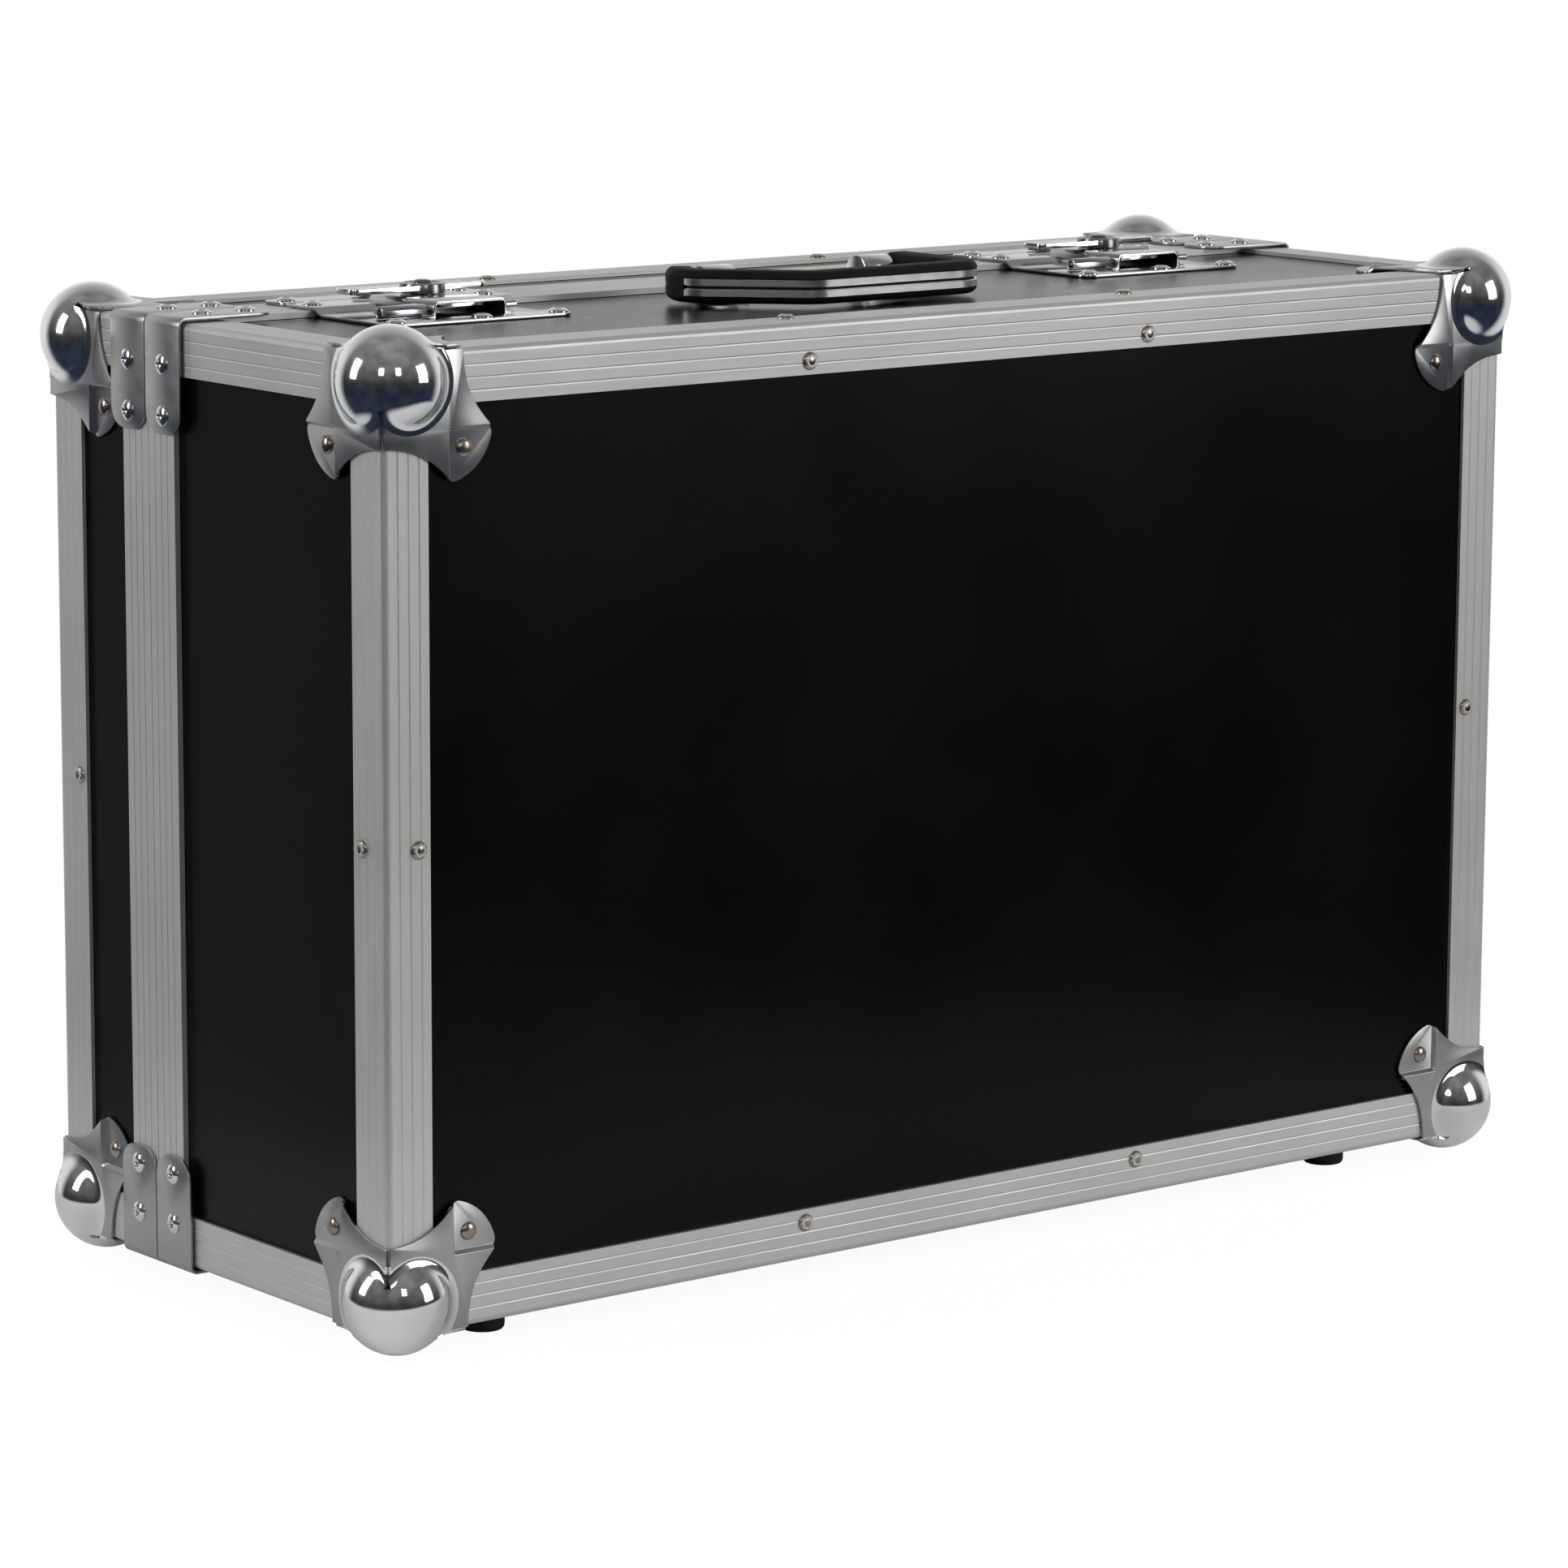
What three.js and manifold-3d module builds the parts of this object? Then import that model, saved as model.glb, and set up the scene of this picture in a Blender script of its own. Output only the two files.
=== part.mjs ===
// Flight case: a deep base half and a shallow lid half of laminated panels in aluminium extrusions,
// with ball corners, corner braces, two twist latches, a folding handle and two hinges.
// Millimetres, +Z up. The case stands on one long narrow side, as a carried case is set down:
// handle and latches on top, hinges underneath. +X runs along its length, -Y is the base's large face.
import * as THREE from 'three';
import { mergeVertices } from 'three/addons/utils/BufferGeometryUtils.js';
import Module from 'manifold-3d';

const wasm = await Module();
wasm.setup();

// Driving dimensions of the case
const CASE_LENGTH = 560;
const CASE_HEIGHT = 363;
const CASE_DEPTH = 223;
const LID_DEPTH = 69;
const FOOT_DROP = 11.5;

// Sheets, seats and gaps
const PANEL_THICKNESS = 6.5;
const LINING_THICKNESS = 5;
const SEAT = 0.2;
const OVERLAP = 0.6;
const OVERRUN = 5;

// Aluminium edge angle
const ANGLE_LEG = 20;
const ANGLE_WALL = 1.6;
const ANGLE_RADIUS = 2.4;
const ANGLE_END_GAP = 1;
const GROOVE_WIDTH = 0.9;
const GROOVE_DEPTH = 0.12;
const GROOVE_SHARES = [0.32, 0.555, 0.79];

// Split frame, the pair of extrusions round the open mouths
const FRAME_WIDTH = 17.7;
const FRAME_PROUD = 0.7;
const FRAME_RADIUS = 3;
const FRAME_WALL = 1.2;
const SEAM_GAP = 0.3;
const LIP_DEPTH = 5.5;
const TONGUE_LENGTH = 4.8;
const TONGUE_THICKNESS = 1.8;
const TONGUE_CLEARANCE = 0.5;
const LID_FLANGE_LENGTH = 14;
const FRAME_GROOVE_SHARES = [0.26, 0.5, 0.74];

// Small domed rivets on the angles
const RIVET_RADIUS = 3.4;
const RIVET_HEIGHT = 1.5;
const RIVET_FROM_EDGE = 14.8;
const RIVET_FROM_END = 195;
const RIVET_SIDES = 8;

// Tubular rivets on braces, latches, hinges and handle brackets
const POP_RADIUS = 3.8;
const POP_HEIGHT = 1.3;

// Sheet steel hardware
const STEEL = 1.2;

// Ball corners
const BALL_RADIUS = 20.4;
const BALL_INSET = 11.4;
const BALL_WALL = 1.4;
const BALL_SEGMENTS = 16;
const BALL_RINGS = 10;
const FLAP_REACH = 36;
const FLAP_LOBE = 48.5;
const FLAP_NECK = 28.5;
const FLAP_DIP = 3.2;
const FLAP_STEP = 29.5;
const FLAP_RIVET = 36;
const FLAP_ARC_STEPS = 4;
const LOBE_BULGE = 5.4;
const LOBE_SHARE = 0.82;

// Corner braces
const BRACE_WIDTH = 23.6;
const BRACE_REACH = 42.4;
const BRACE_BEND = 2;
const BRACE_END_RADIUS = 7;
const BRACE_RIVETS = [16, 35.5];
const BRACE_GAP = 0.6;

// Rubber feet
const FOOT_RADIUS = 8.5;
const FOOT_CHAMFER = 1;
const FOOT_FROM_END = 63;
const FRONT_FOOT_FROM_FRONT = 29.5;
const ROUND_SIDES = 16;

// Hinges
const HINGE_FROM_END = 130;
const HINGE_LENGTH = 56;
const HINGE_LEAF = 16;
const HINGE_STEEL = 1.5;
const HINGE_DROP = 4.4;
const KNUCKLE_RADIUS = 3.2;
const HINGE_PIN_RADIUS = 1.5;
const HINGE_BORE_RADIUS = 1.85;
const KNUCKLE_SHARE = 0.3;
const KNUCKLE_GAP = 0.4;
const KNUCKLE_RELIEF = 3.9;
const HINGE_RIVET_SHARES = [-0.36, 0, 0.36];
const HINGE_RIVET_OUT_SHARE = 0.6;
const HINGE_SIDES = 12;

// Handle: a bent shoulder at its left end and a straight arm at its right end
const LEFT_ARM = 70;
const RIGHT_ARM = 41;
const SHOULDER_OUT = 6;
const SHOULDER_FROM_PIVOT = 10.5;
const GRIP_LEFT = 40;
const GRIP_FROM_PIVOT = 45;
const GRIP_THICKNESS = 13;
const GRIP_DEPTH = 12;
const GRIP_CLEARANCE = 1.5;
const GRIP_BEND_RADIUS = 11;
const GRIP_CHAMFER = 2.4;
const GRIP_SLIM_SHARE = 0.6;
const PIVOT_FROM_BASE_MIDDLE = 22.5;
const BAND_HEIGHT = 7.4;
const BAND_THICKNESS = 1.6;
const BAND_DROP = 0.2;
const BAND_FROM_BEND = 8.6;
const BAND_FROM_PIVOT = 12;
const BEND_STEPS = 4;
const HANDLE_PIN_RADIUS = 2.5;
const HANDLE_BORE_RADIUS = 3;
const SADDLE_RADIUS = 6.2;
const SADDLE_LENGTH = 15;
const SADDLE_FROM_ARM = 2.5;
const BRACKET_LENGTH = 18.6;
const BRACKET_WIDTH = 28;
const BRACKET_RADIUS = 4;

// Latches, sizes across from the latch's own centre line and along the depth from the seam
const LATCH_FROM_END = 108;
const LATCH_HALF_WIDTH = 46;
const LATCH_FRONT_FROM_SEAM = 70.5;
const LATCH_FRONT_RADIUS = 6;
const LATCH_RIGHT_EAR = 40;
const LATCH_FRONT_RIVETS = [-39.5, 0, 35.5];
const LATCH_FRONT_RIVET_FROM_SEAM = 64.2;
const LATCH_SIDE_RIVET = 40;
const LATCH_WAIST = 33;
const LATCH_WAIST_FRONT_FROM_SEAM = 54.5;
const LATCH_WAIST_BACK_FROM_SEAM = 28.5;
const HOUSING_HALF = 17;
const HOUSING_FRONT_FROM_SEAM = 56.5;
const HOUSING_BACK_FROM_SEAM = 13.5;
const HOOK_LIFT = 0.4;
const HOOK_THICKNESS = 1.5;
const HOOK_HALF = 10;
const HOOK_TAIL_FROM_SEAM = 50.5;
const HOOK_OVER_KEEPER = 8;
const HOOK_CLAW_RADIUS = 1.7;
const HOOK_TRAVEL = 6;
const HUB_FROM_SEAM = 24.9;
const HUB_RADIUS = 8.8;
const HUB_HEIGHT = 4;
const HUB_CROWN = 1.2;
const STUB_RADIUS = 4.6;
const STUB_CLEARANCE = 0.35;
const CRANK_RADIUS = 1.2;
const CRANK_SLOT_CLEARANCE = 0.95;
const WING_LEFT = 37;
const WING_RIGHT = 27;
const WING_HALF = 6.5;
const WING_THICKNESS = 2.2;
const SLOT_PIN_RADIUS = 1.3;
const SLOT_PIN_END = 6;
const KEEPER_RIVET = 40;

// Places worked out from the sizes above
const HALF_LENGTH = CASE_LENGTH / 2;
const FRONT_Y = -CASE_DEPTH / 2;
const BACK_Y = CASE_DEPTH / 2;
const SEAM_Y = BACK_Y - LID_DEPTH;
const BOTTOM_Z = FOOT_DROP;
const TOP_Z = BOTTOM_Z + CASE_HEIGHT;
const MIDDLE_Z = (BOTTOM_Z + TOP_Z) / 2;
const PANEL_SINK = ANGLE_WALL + SEAT;
const PANEL_IN = PANEL_SINK + PANEL_THICKNESS + SEAT;
const FRAME_IN = PANEL_IN + FRAME_WALL;
const WEB_START = LIP_DEPTH;
const WEB_END = WEB_START + FRAME_WALL;
const BASE_MOUTH_Y = SEAM_Y - WEB_END - SEAT;
const LID_MOUTH_Y = SEAM_Y + SEAM_GAP / 2 + FRAME_WALL + SEAT;
const BASE_FRAME_Y = SEAM_Y - FRAME_WIDTH;
const LID_FRAME_Y = SEAM_Y + FRAME_WIDTH;
const PANEL_TOP_Z = TOP_Z - PANEL_SINK;
const PANEL_BOTTOM_Z = BOTTOM_Z + PANEL_SINK;
const FRAME_TOP_Z = TOP_Z + FRAME_PROUD;
const CORNER_CUT = ANGLE_LEG + ANGLE_END_GAP;
const HINGE_Z = BOTTOM_Z - HINGE_DROP;
const PIVOT_Y = (FRONT_Y + SEAM_Y) / 2 + PIVOT_FROM_BASE_MIDDLE;
const LATCH_FRONT = SEAM_Y - LATCH_FRONT_FROM_SEAM;
const LATCH_FRONT_RIVET_Y = SEAM_Y - LATCH_FRONT_RIVET_FROM_SEAM;
const LATCH_WAIST_FRONT = SEAM_Y - LATCH_WAIST_FRONT_FROM_SEAM;
const LATCH_WAIST_BACK = SEAM_Y - LATCH_WAIST_BACK_FROM_SEAM;
const HOUSING_FRONT = SEAM_Y - HOUSING_FRONT_FROM_SEAM;
const HOUSING_BACK = SEAM_Y - HOUSING_BACK_FROM_SEAM;
const HOOK_TAIL = SEAM_Y - HOOK_TAIL_FROM_SEAM;
const HUB_Y = SEAM_Y - HUB_FROM_SEAM;

// Finishes
const laminate = () => new THREE.MeshStandardMaterial({ color: 0x0d0e10, roughness: 0.5, metalness: 0 });
const aluminium = () => new THREE.MeshStandardMaterial({ color: 0xb9b9b6, roughness: 0.4, metalness: 0.9 });
const chrome = () => new THREE.MeshStandardMaterial({ color: 0xd5d7da, roughness: 0.12, metalness: 1 });
const rubber = () => new THREE.MeshStandardMaterial({ color: 0x101010, roughness: 0.8, metalness: 0 });
const moulding = () => new THREE.MeshStandardMaterial({ color: 0x15150f, roughness: 0.55, metalness: 0 });
const foam = () => new THREE.MeshStandardMaterial({ color: 0x24262a, roughness: 0.95, metalness: 0 });

// Turns a closed three.js geometry into a solid that can be cut and joined.
function solid(geometry) {
  const bare = geometry.clone();
  bare.deleteAttribute('normal');
  bare.deleteAttribute('uv');
  const welded = mergeVertices(bare);
  const triVerts = Uint32Array.from(welded.index.array);
  const vertProperties = Float32Array.from(welded.attributes.position.array);
  return new wasm.Manifold(new wasm.Mesh({ numProp: 3, vertProperties, triVerts }));
}

// Turns a solid back into a geometry.
function geometryOf(body) {
  const mesh = body.getMesh();
  const geometry = new THREE.BufferGeometry();
  geometry.setAttribute('position', new THREE.BufferAttribute(Float32Array.from(mesh.vertProperties), 3));
  geometry.setIndex(new THREE.BufferAttribute(Uint32Array.from(mesh.triVerts), 1));
  geometry.computeVertexNormals();
  return geometry;
}

// Moves a geometry into the frame with the given origin and axes. A mirrored frame turns the faces back out.
function placed(geometry, origin, ex, ey, ez) {
  const matrix = new THREE.Matrix4().makeBasis(ex, ey, ez).setPosition(origin);
  geometry.applyMatrix4(matrix);
  if (matrix.determinant() < 0) {
    const flat = geometry.index ? geometry.toNonIndexed() : geometry;
    const position = flat.attributes.position;
    for (let i = 0; i < position.count; i += 3) {
      const x = position.getX(i);
      const y = position.getY(i);
      const z = position.getZ(i);
      position.setXYZ(i, position.getX(i + 1), position.getY(i + 1), position.getZ(i + 1));
      position.setXYZ(i + 1, x, y, z);
    }
    return flat;
  }
  return geometry;
}

const vec = (x, y, z) => new THREE.Vector3(x, y, z);
const AXIS_X = vec(1, 0, 0);
const AXIS_Y = vec(0, 1, 0);
const AXIS_Z = vec(0, 0, 1);

// A rectangular block between two corners.
function block(low, high) {
  const size = vec(high[0] - low[0], high[1] - low[1], high[2] - low[2]);
  const box = new THREE.BoxGeometry(size.x, size.y, size.z);
  box.translate((low[0] + high[0]) / 2, (low[1] + high[1]) / 2, (low[2] + high[2]) / 2);
  return solid(box);
}

// A shape extruded along its own normal, from height low to height high.
function slab(shape, low, high) {
  const settings = { depth: high - low, bevelEnabled: false, curveSegments: BEND_STEPS };
  const geometry = new THREE.ExtrudeGeometry(shape, settings);
  geometry.translate(0, 0, low);
  return geometry;
}

function shapeOf(points) {
  return new THREE.Shape(points.map(([x, y]) => new THREE.Vector2(x, y)));
}

// Points of a circular arc about a centre.
function arc(centre, radius, from, to, steps) {
  const points = [];
  for (let i = 0; i <= steps; i += 1) {
    const angle = from + ((to - from) * i) / steps;
    points.push([centre[0] + radius * Math.cos(angle), centre[1] + radius * Math.sin(angle)]);
  }
  return points;
}

// A rectangle with rounded corners.
function roundedRectangle(x0, x1, y0, y1, radius, steps) {
  const quarter = Math.PI / 2;
  return [
    ...arc([x1 - radius, y1 - radius], radius, 0, quarter, steps),
    ...arc([x0 + radius, y1 - radius], radius, quarter, Math.PI, steps),
    ...arc([x0 + radius, y0 + radius], radius, Math.PI, Math.PI + quarter, steps),
    ...arc([x1 - radius, y0 + radius], radius, Math.PI + quarter, Math.PI + quarter * 2, steps),
  ];
}

// A low domed head standing on the plane z = 0.
function dome(radius, height, sides) {
  const crownShares = [[1, 0.3], [0.7, 1]];
  const rise = crownShares.map(([across, up]) => new THREE.Vector2(radius * across, height * up));
  const profile = [new THREE.Vector2(0, -OVERLAP), new THREE.Vector2(radius, -OVERLAP), ...rise];
  profile.push(new THREE.Vector2(0, height));
  const head = new THREE.LatheGeometry(profile, sides);
  head.rotateX(Math.PI / 2);
  return head;
}

// A round bar along X, Y or Z between two places on its axis.
function roundBar(radius, along, from, to, centre, sides) {
  const bar = new THREE.CylinderGeometry(radius, radius, to - from, sides);
  if (along === 'x') bar.rotateZ(Math.PI / 2);
  if (along === 'z') bar.rotateX(Math.PI / 2);
  const middle = (from + to) / 2;
  const [a, b] = centre;
  const place = { x: [middle, a, b], y: [a, middle, b], z: [a, b, middle] };
  bar.translate(...place[along]);
  return solid(bar);
}

// Rivet heads at the given places, standing out along a normal, as one list of solids.
function rivetHeads(places, normal, across, radius, height) {
  const other = normal.clone().cross(across);
  const head = () => dome(radius, height, RIVET_SIDES);
  return places.map((place) => solid(placed(head(), place, across, other, normal)));
}

function join(parts) {
  return parts.reduce((whole, part) => whole.add(part));
}

const group = new THREE.Group();

// Adds a finished solid to the scene as its own mesh, placed at an origin of its own.
function addPiece(parent, name, body, material, origin = vec(0, 0, 0)) {
  const geometry = geometryOf(body);
  geometry.translate(-origin.x, -origin.y, -origin.z);
  const mesh = new THREE.Mesh(geometry, material);
  mesh.name = name;
  mesh.position.copy(origin);
  parent.add(mesh);
  return mesh;
}

// A flat sheet as its own mesh.
function addSheet(parent, name, low, high, material) {
  const geometry = new THREE.BoxGeometry(high[0] - low[0], high[1] - low[1], high[2] - low[2]);
  const mesh = new THREE.Mesh(geometry, material);
  mesh.name = name;
  mesh.position.set((low[0] + high[0]) / 2, (low[1] + high[1]) / 2, (low[2] + high[2]) / 2);
  parent.add(mesh);
}

// The four walls and the large face of one half. The walls run from wallY[0] to wallY[1].
function addPanels(parent, half, faceName, faceY, wallY) {
  const side = HALF_LENGTH - PANEL_SINK;
  const inner = HALF_LENGTH - PANEL_SINK - PANEL_THICKNESS;
  const low = PANEL_BOTTOM_Z;
  const high = PANEL_TOP_Z;
  const lowIn = BOTTOM_Z + PANEL_IN;
  const highIn = TOP_Z - PANEL_IN;
  const [y0, y1] = wallY;
  const t = PANEL_THICKNESS;
  addSheet(parent, faceName, [-side, faceY[0], low], [side, faceY[1], high], laminate());
  addSheet(parent, `${half}_top_panel`, [-side, y0, high - t], [side, y1, high], laminate());
  addSheet(parent, `${half}_bottom_panel`, [-side, y0, low], [side, y1, low + t], laminate());
  addSheet(parent, `${half}_left_panel`, [-side, y0, lowIn], [-inner, y1, highIn], laminate());
  addSheet(parent, `${half}_right_panel`, [inner, y0, lowIn], [side, y1, highIn], laminate());
}

// Section of the edge angle: two legs with three fine grooves each and a rounded outer corner.
function angleSection() {
  const half = GROOVE_WIDTH / 2;
  const grooves = GROOVE_SHARES.map((share) => share * ANGLE_LEG);
  const outward = grooves.flatMap((g) => [[0, g - half], [GROOVE_DEPTH, g], [0, g + half]]);
  const inward = [...outward].reverse().map(([a, b]) => [b, a]);
  const corner = arc([ANGLE_RADIUS, ANGLE_RADIUS], ANGLE_RADIUS, Math.PI * 1.5, Math.PI, BEND_STEPS);
  return [
    [ANGLE_LEG, 0],
    ...inward,
    ...corner,
    ...outward,
    [0, ANGLE_LEG],
    [ANGLE_WALL, ANGLE_LEG],
    [ANGLE_WALL, ANGLE_WALL],
    [ANGLE_LEG, ANGLE_WALL],
  ];
}

// An angle along a box edge: start point on the edge, directions of its two legs and of its length.
function angleBar(start, legA, legB, along, length) {
  return solid(placed(slab(shapeOf(angleSection()), 0, length), start, legA, legB, along));
}

// The four edges round the large face of a half, which lies at faceY.
function faceEdges(faceY, inward, cut) {
  const left = -HALF_LENGTH;
  const right = HALF_LENGTH;
  const length = CASE_LENGTH - cut * 2;
  const height = CASE_HEIGHT - cut * 2;
  const down = vec(0, 0, -1);
  const toRight = vec(1, 0, 0);
  const toLeft = vec(-1, 0, 0);
  return {
    top: () => angleBar(vec(left + cut, faceY, TOP_Z), down, inward, AXIS_X, length),
    bottom: () => angleBar(vec(left + cut, faceY, BOTTOM_Z), AXIS_Z, inward, AXIS_X, length),
    left: () => angleBar(vec(left, faceY, BOTTOM_Z + cut), toRight, inward, AXIS_Z, height),
    right: () => angleBar(vec(right, faceY, BOTTOM_Z + cut), toLeft, inward, AXIS_Z, height),
  };
}

// The four edges that run along the depth, from y0 to y1.
function depthEdges(y0, y1) {
  const corners = [
    ['top_left', -1, 1], ['top_right', 1, 1],
    ['bottom_left', -1, -1], ['bottom_right', 1, -1],
  ];
  return corners.map(([name, sx, sz]) => {
    const start = vec(sx * HALF_LENGTH, y0, sz > 0 ? TOP_Z : BOTTOM_Z);
    return [name, () => angleBar(start, vec(-sx, 0, 0), vec(0, 0, -sz), AXIS_Y, y1 - y0)];
  });
}

// Rivet places on the large face of a half and on its narrow sides.
function angleRivets(faceY, outward) {
  const near = RIVET_FROM_EDGE;
  const beside = faceY - outward * near;
  const out = vec(0, outward, 0);
  const faceHeads = (places) => rivetHeads(places, out, AXIS_Z, RIVET_RADIUS, RIVET_HEIGHT);
  const sideHeads = (places, normal) => rivetHeads(places, normal, AXIS_Y, RIVET_RADIUS, RIVET_HEIGHT);
  const offset = HALF_LENGTH - RIVET_FROM_END;
  const spread = [-offset, offset];
  return {
    top: [
      ...faceHeads(spread.map((x) => vec(x, faceY, TOP_Z - near))),
      ...sideHeads(spread.map((x) => vec(x, beside, TOP_Z)), AXIS_Z),
    ],
    bottom: faceHeads(spread.map((x) => vec(x, faceY, BOTTOM_Z + near))),
    left: [
      ...faceHeads([vec(-HALF_LENGTH + near, faceY, MIDDLE_Z)]),
      ...sideHeads([vec(-HALF_LENGTH, beside, MIDDLE_Z)], vec(-1, 0, 0)),
    ],
    right: [
      ...faceHeads([vec(HALF_LENGTH - near, faceY, MIDDLE_Z)]),
      ...sideHeads([vec(HALF_LENGTH, beside, MIDDLE_Z)], AXIS_X),
    ],
  };
}

function addBaseAngles(parent) {
  const edges = faceEdges(FRONT_Y, AXIS_Y, CORNER_CUT);
  const rivets = angleRivets(FRONT_Y, -1);
  for (const side of ['top', 'bottom', 'left', 'right']) {
    addPiece(parent, `front_${side}_angle`, join([edges[side](), ...rivets[side]]), aluminium());
  }
  for (const [name, make] of depthEdges(FRONT_Y + CORNER_CUT, BASE_FRAME_Y - SEAT)) {
    addPiece(parent, `base_${name}_angle`, make(), aluminium());
  }
}

// Three plates that meet at a box corner and tie its three angles together.
function cornerCup(sx, sz) {
  const size = CORNER_CUT;
  const cube = block([0, 0, 0], [size, size, size]);
  const far = size + OVERRUN;
  const cup = geometryOf(cube.subtract(block([ANGLE_WALL, ANGLE_WALL, ANGLE_WALL], [far, far, far])));
  const place = vec(sx * HALF_LENGTH, BACK_Y, sz > 0 ? TOP_Z : BOTTOM_Z);
  return solid(placed(cup, place, vec(-sx, 0, 0), vec(0, -1, 0), vec(0, 0, -sz)));
}

// The lid's eight angles are tied together under the ball corners and form one frame.
function addLidEdgeFrame(parent) {
  const edges = faceEdges(BACK_Y, vec(0, -1, 0), CORNER_CUT - OVERLAP);
  const rivets = angleRivets(BACK_Y, 1);
  const parts = ['top', 'bottom', 'left', 'right'].flatMap((side) => [edges[side](), ...rivets[side]]);
  const depth = depthEdges(LID_FRAME_Y + SEAT, BACK_Y - CORNER_CUT + OVERLAP).map(([, make]) => make());
  const cups = [-1, 1].flatMap((sx) => [-1, 1].map((sz) => cornerCup(sx, sz)));
  addPiece(parent, 'lid_edge_frame', join([...parts, ...depth, ...cups]), aluminium());
}

// A rectangular ring round the case, between two depths under its faces and two places along Y.
function ring(outerDepth, innerDepth, y0, y1) {
  const outerRadius = Math.max(FRAME_RADIUS - outerDepth - FRAME_PROUD, SEAT);
  const innerRadius = Math.max(FRAME_RADIUS - innerDepth - FRAME_PROUD, SEAT);
  const outline = (depth, radius) => roundedRectangle(
    -HALF_LENGTH + depth, HALF_LENGTH - depth, BOTTOM_Z + depth, TOP_Z - depth, radius, BEND_STEPS,
  );
  const shape = shapeOf(outline(outerDepth, outerRadius));
  shape.holes.push(new THREE.Path(shapeOf(outline(innerDepth, innerRadius)).getPoints()));
  return solid(placed(slab(shape, 0, y1 - y0), vec(0, y1, 0), AXIS_X, AXIS_Z, vec(0, -1, 0)));
}

// Fine grooves round the outer flange of a split frame.
function cutFrameGrooves(frame, edgeY, inward) {
  const half = GROOVE_WIDTH / 2;
  return FRAME_GROOVE_SHARES.reduce((body, share) => {
    const y = edgeY + inward * share * FRAME_WIDTH;
    return body.subtract(ring(-FRAME_PROUD - OVERRUN, -FRAME_PROUD + GROOVE_DEPTH, y - half, y + half));
  }, frame);
}

function addSplitFrames(base, lid) {
  const half = SEAM_GAP / 2;
  const baseLip = ring(-FRAME_PROUD, ANGLE_WALL, BASE_FRAME_Y, SEAM_Y - half);
  const baseWeb = ring(0, FRAME_IN, SEAM_Y - WEB_END, SEAM_Y - WEB_START);
  const baseInner = ring(PANEL_IN, FRAME_IN, BASE_FRAME_Y, SEAM_Y - WEB_START);
  const baseFrame = cutFrameGrooves(join([baseLip, baseWeb, baseInner]), BASE_FRAME_Y, 1);
  addPiece(base, 'base_split_frame', baseFrame, aluminium());

  const tongueOuter = ANGLE_WALL + TONGUE_CLEARANCE;
  const lidLip = ring(-FRAME_PROUD, ANGLE_WALL, SEAM_Y + half, LID_FRAME_Y);
  const lidWeb = ring(0, FRAME_IN, SEAM_Y + half, SEAM_Y + half + FRAME_WALL);
  const lidInner = ring(PANEL_IN, FRAME_IN, SEAM_Y + half, SEAM_Y + LID_FLANGE_LENGTH);
  const tongueInner = tongueOuter + TONGUE_THICKNESS;
  const tongue = ring(tongueOuter, tongueInner, SEAM_Y - TONGUE_LENGTH, SEAM_Y + FRAME_WALL);
  const lidFrame = cutFrameGrooves(join([lidLip, lidWeb, lidInner, tongue]), LID_FRAME_Y, -1);
  addPiece(lid, 'lid_split_frame', lidFrame, aluminium());
}

// Outline of one corner flap, as distances from the two edges that meet at the corner.
function flapOutline() {
  const edge = -SEAT - STEEL;
  const dip = (from, to) => {
    const points = [];
    for (let i = 0; i <= FLAP_ARC_STEPS; i += 1) {
      const t = i / FLAP_ARC_STEPS;
      const sag = Math.sin(Math.PI * t) * FLAP_DIP;
      points.push([from[0] + (to[0] - from[0]) * t - sag, from[1] + (to[1] - from[1]) * t + sag / 2]);
    }
    return points;
  };
  const lower = dip([FLAP_REACH, edge], [FLAP_LOBE, FLAP_NECK]);
  const upper = [...lower].reverse().map(([u, v]) => [v, u]);
  const bulge = (FLAP_LOBE + FLAP_NECK) / 2 + LOBE_BULGE;
  const shoulder = FLAP_NECK + (FLAP_LOBE - FLAP_NECK) * (1 - LOBE_SHARE) + LOBE_BULGE;
  const shoulderFar = FLAP_NECK + (FLAP_LOBE - FLAP_NECK) * LOBE_SHARE + LOBE_BULGE / 2;
  const lobe = [[shoulderFar, shoulder], [bulge, bulge], [shoulder, shoulderFar]];
  return shapeOf([[edge, edge], ...lower, ...lobe, ...upper]);
}

// One face's flap in the corner's own frame, where u, v and w run inwards from the three faces.
function flap() {
  const outline = flapOutline();
  const raised = solid(slab(outline, -SEAT - STEEL, -SEAT));
  const seatedLow = PANEL_SINK - SEAT - STEEL;
  const seated = solid(slab(outline, seatedLow, PANEL_SINK - SEAT));
  const riser = solid(slab(outline, -SEAT - STEEL, PANEL_SINK - SEAT));
  const far = FLAP_LOBE + FLAP_REACH;
  const zone = (start) => block([start, start, -OVERRUN], [far, far, OVERRUN]);
  const wall = riser.intersect(zone(FLAP_STEP - OVERLAP)).subtract(zone(FLAP_STEP + STEEL));
  const lobe = seated.intersect(zone(FLAP_STEP));
  const top = raised.subtract(zone(FLAP_STEP));
  const rivetPlaces = [vec(FLAP_RIVET, FLAP_RIVET, seatedLow)];
  const head = rivetHeads(rivetPlaces, vec(0, 0, -1), AXIS_X, RIVET_RADIUS, RIVET_HEIGHT);
  return join([top, wall, lobe, ...head]);
}

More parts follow.
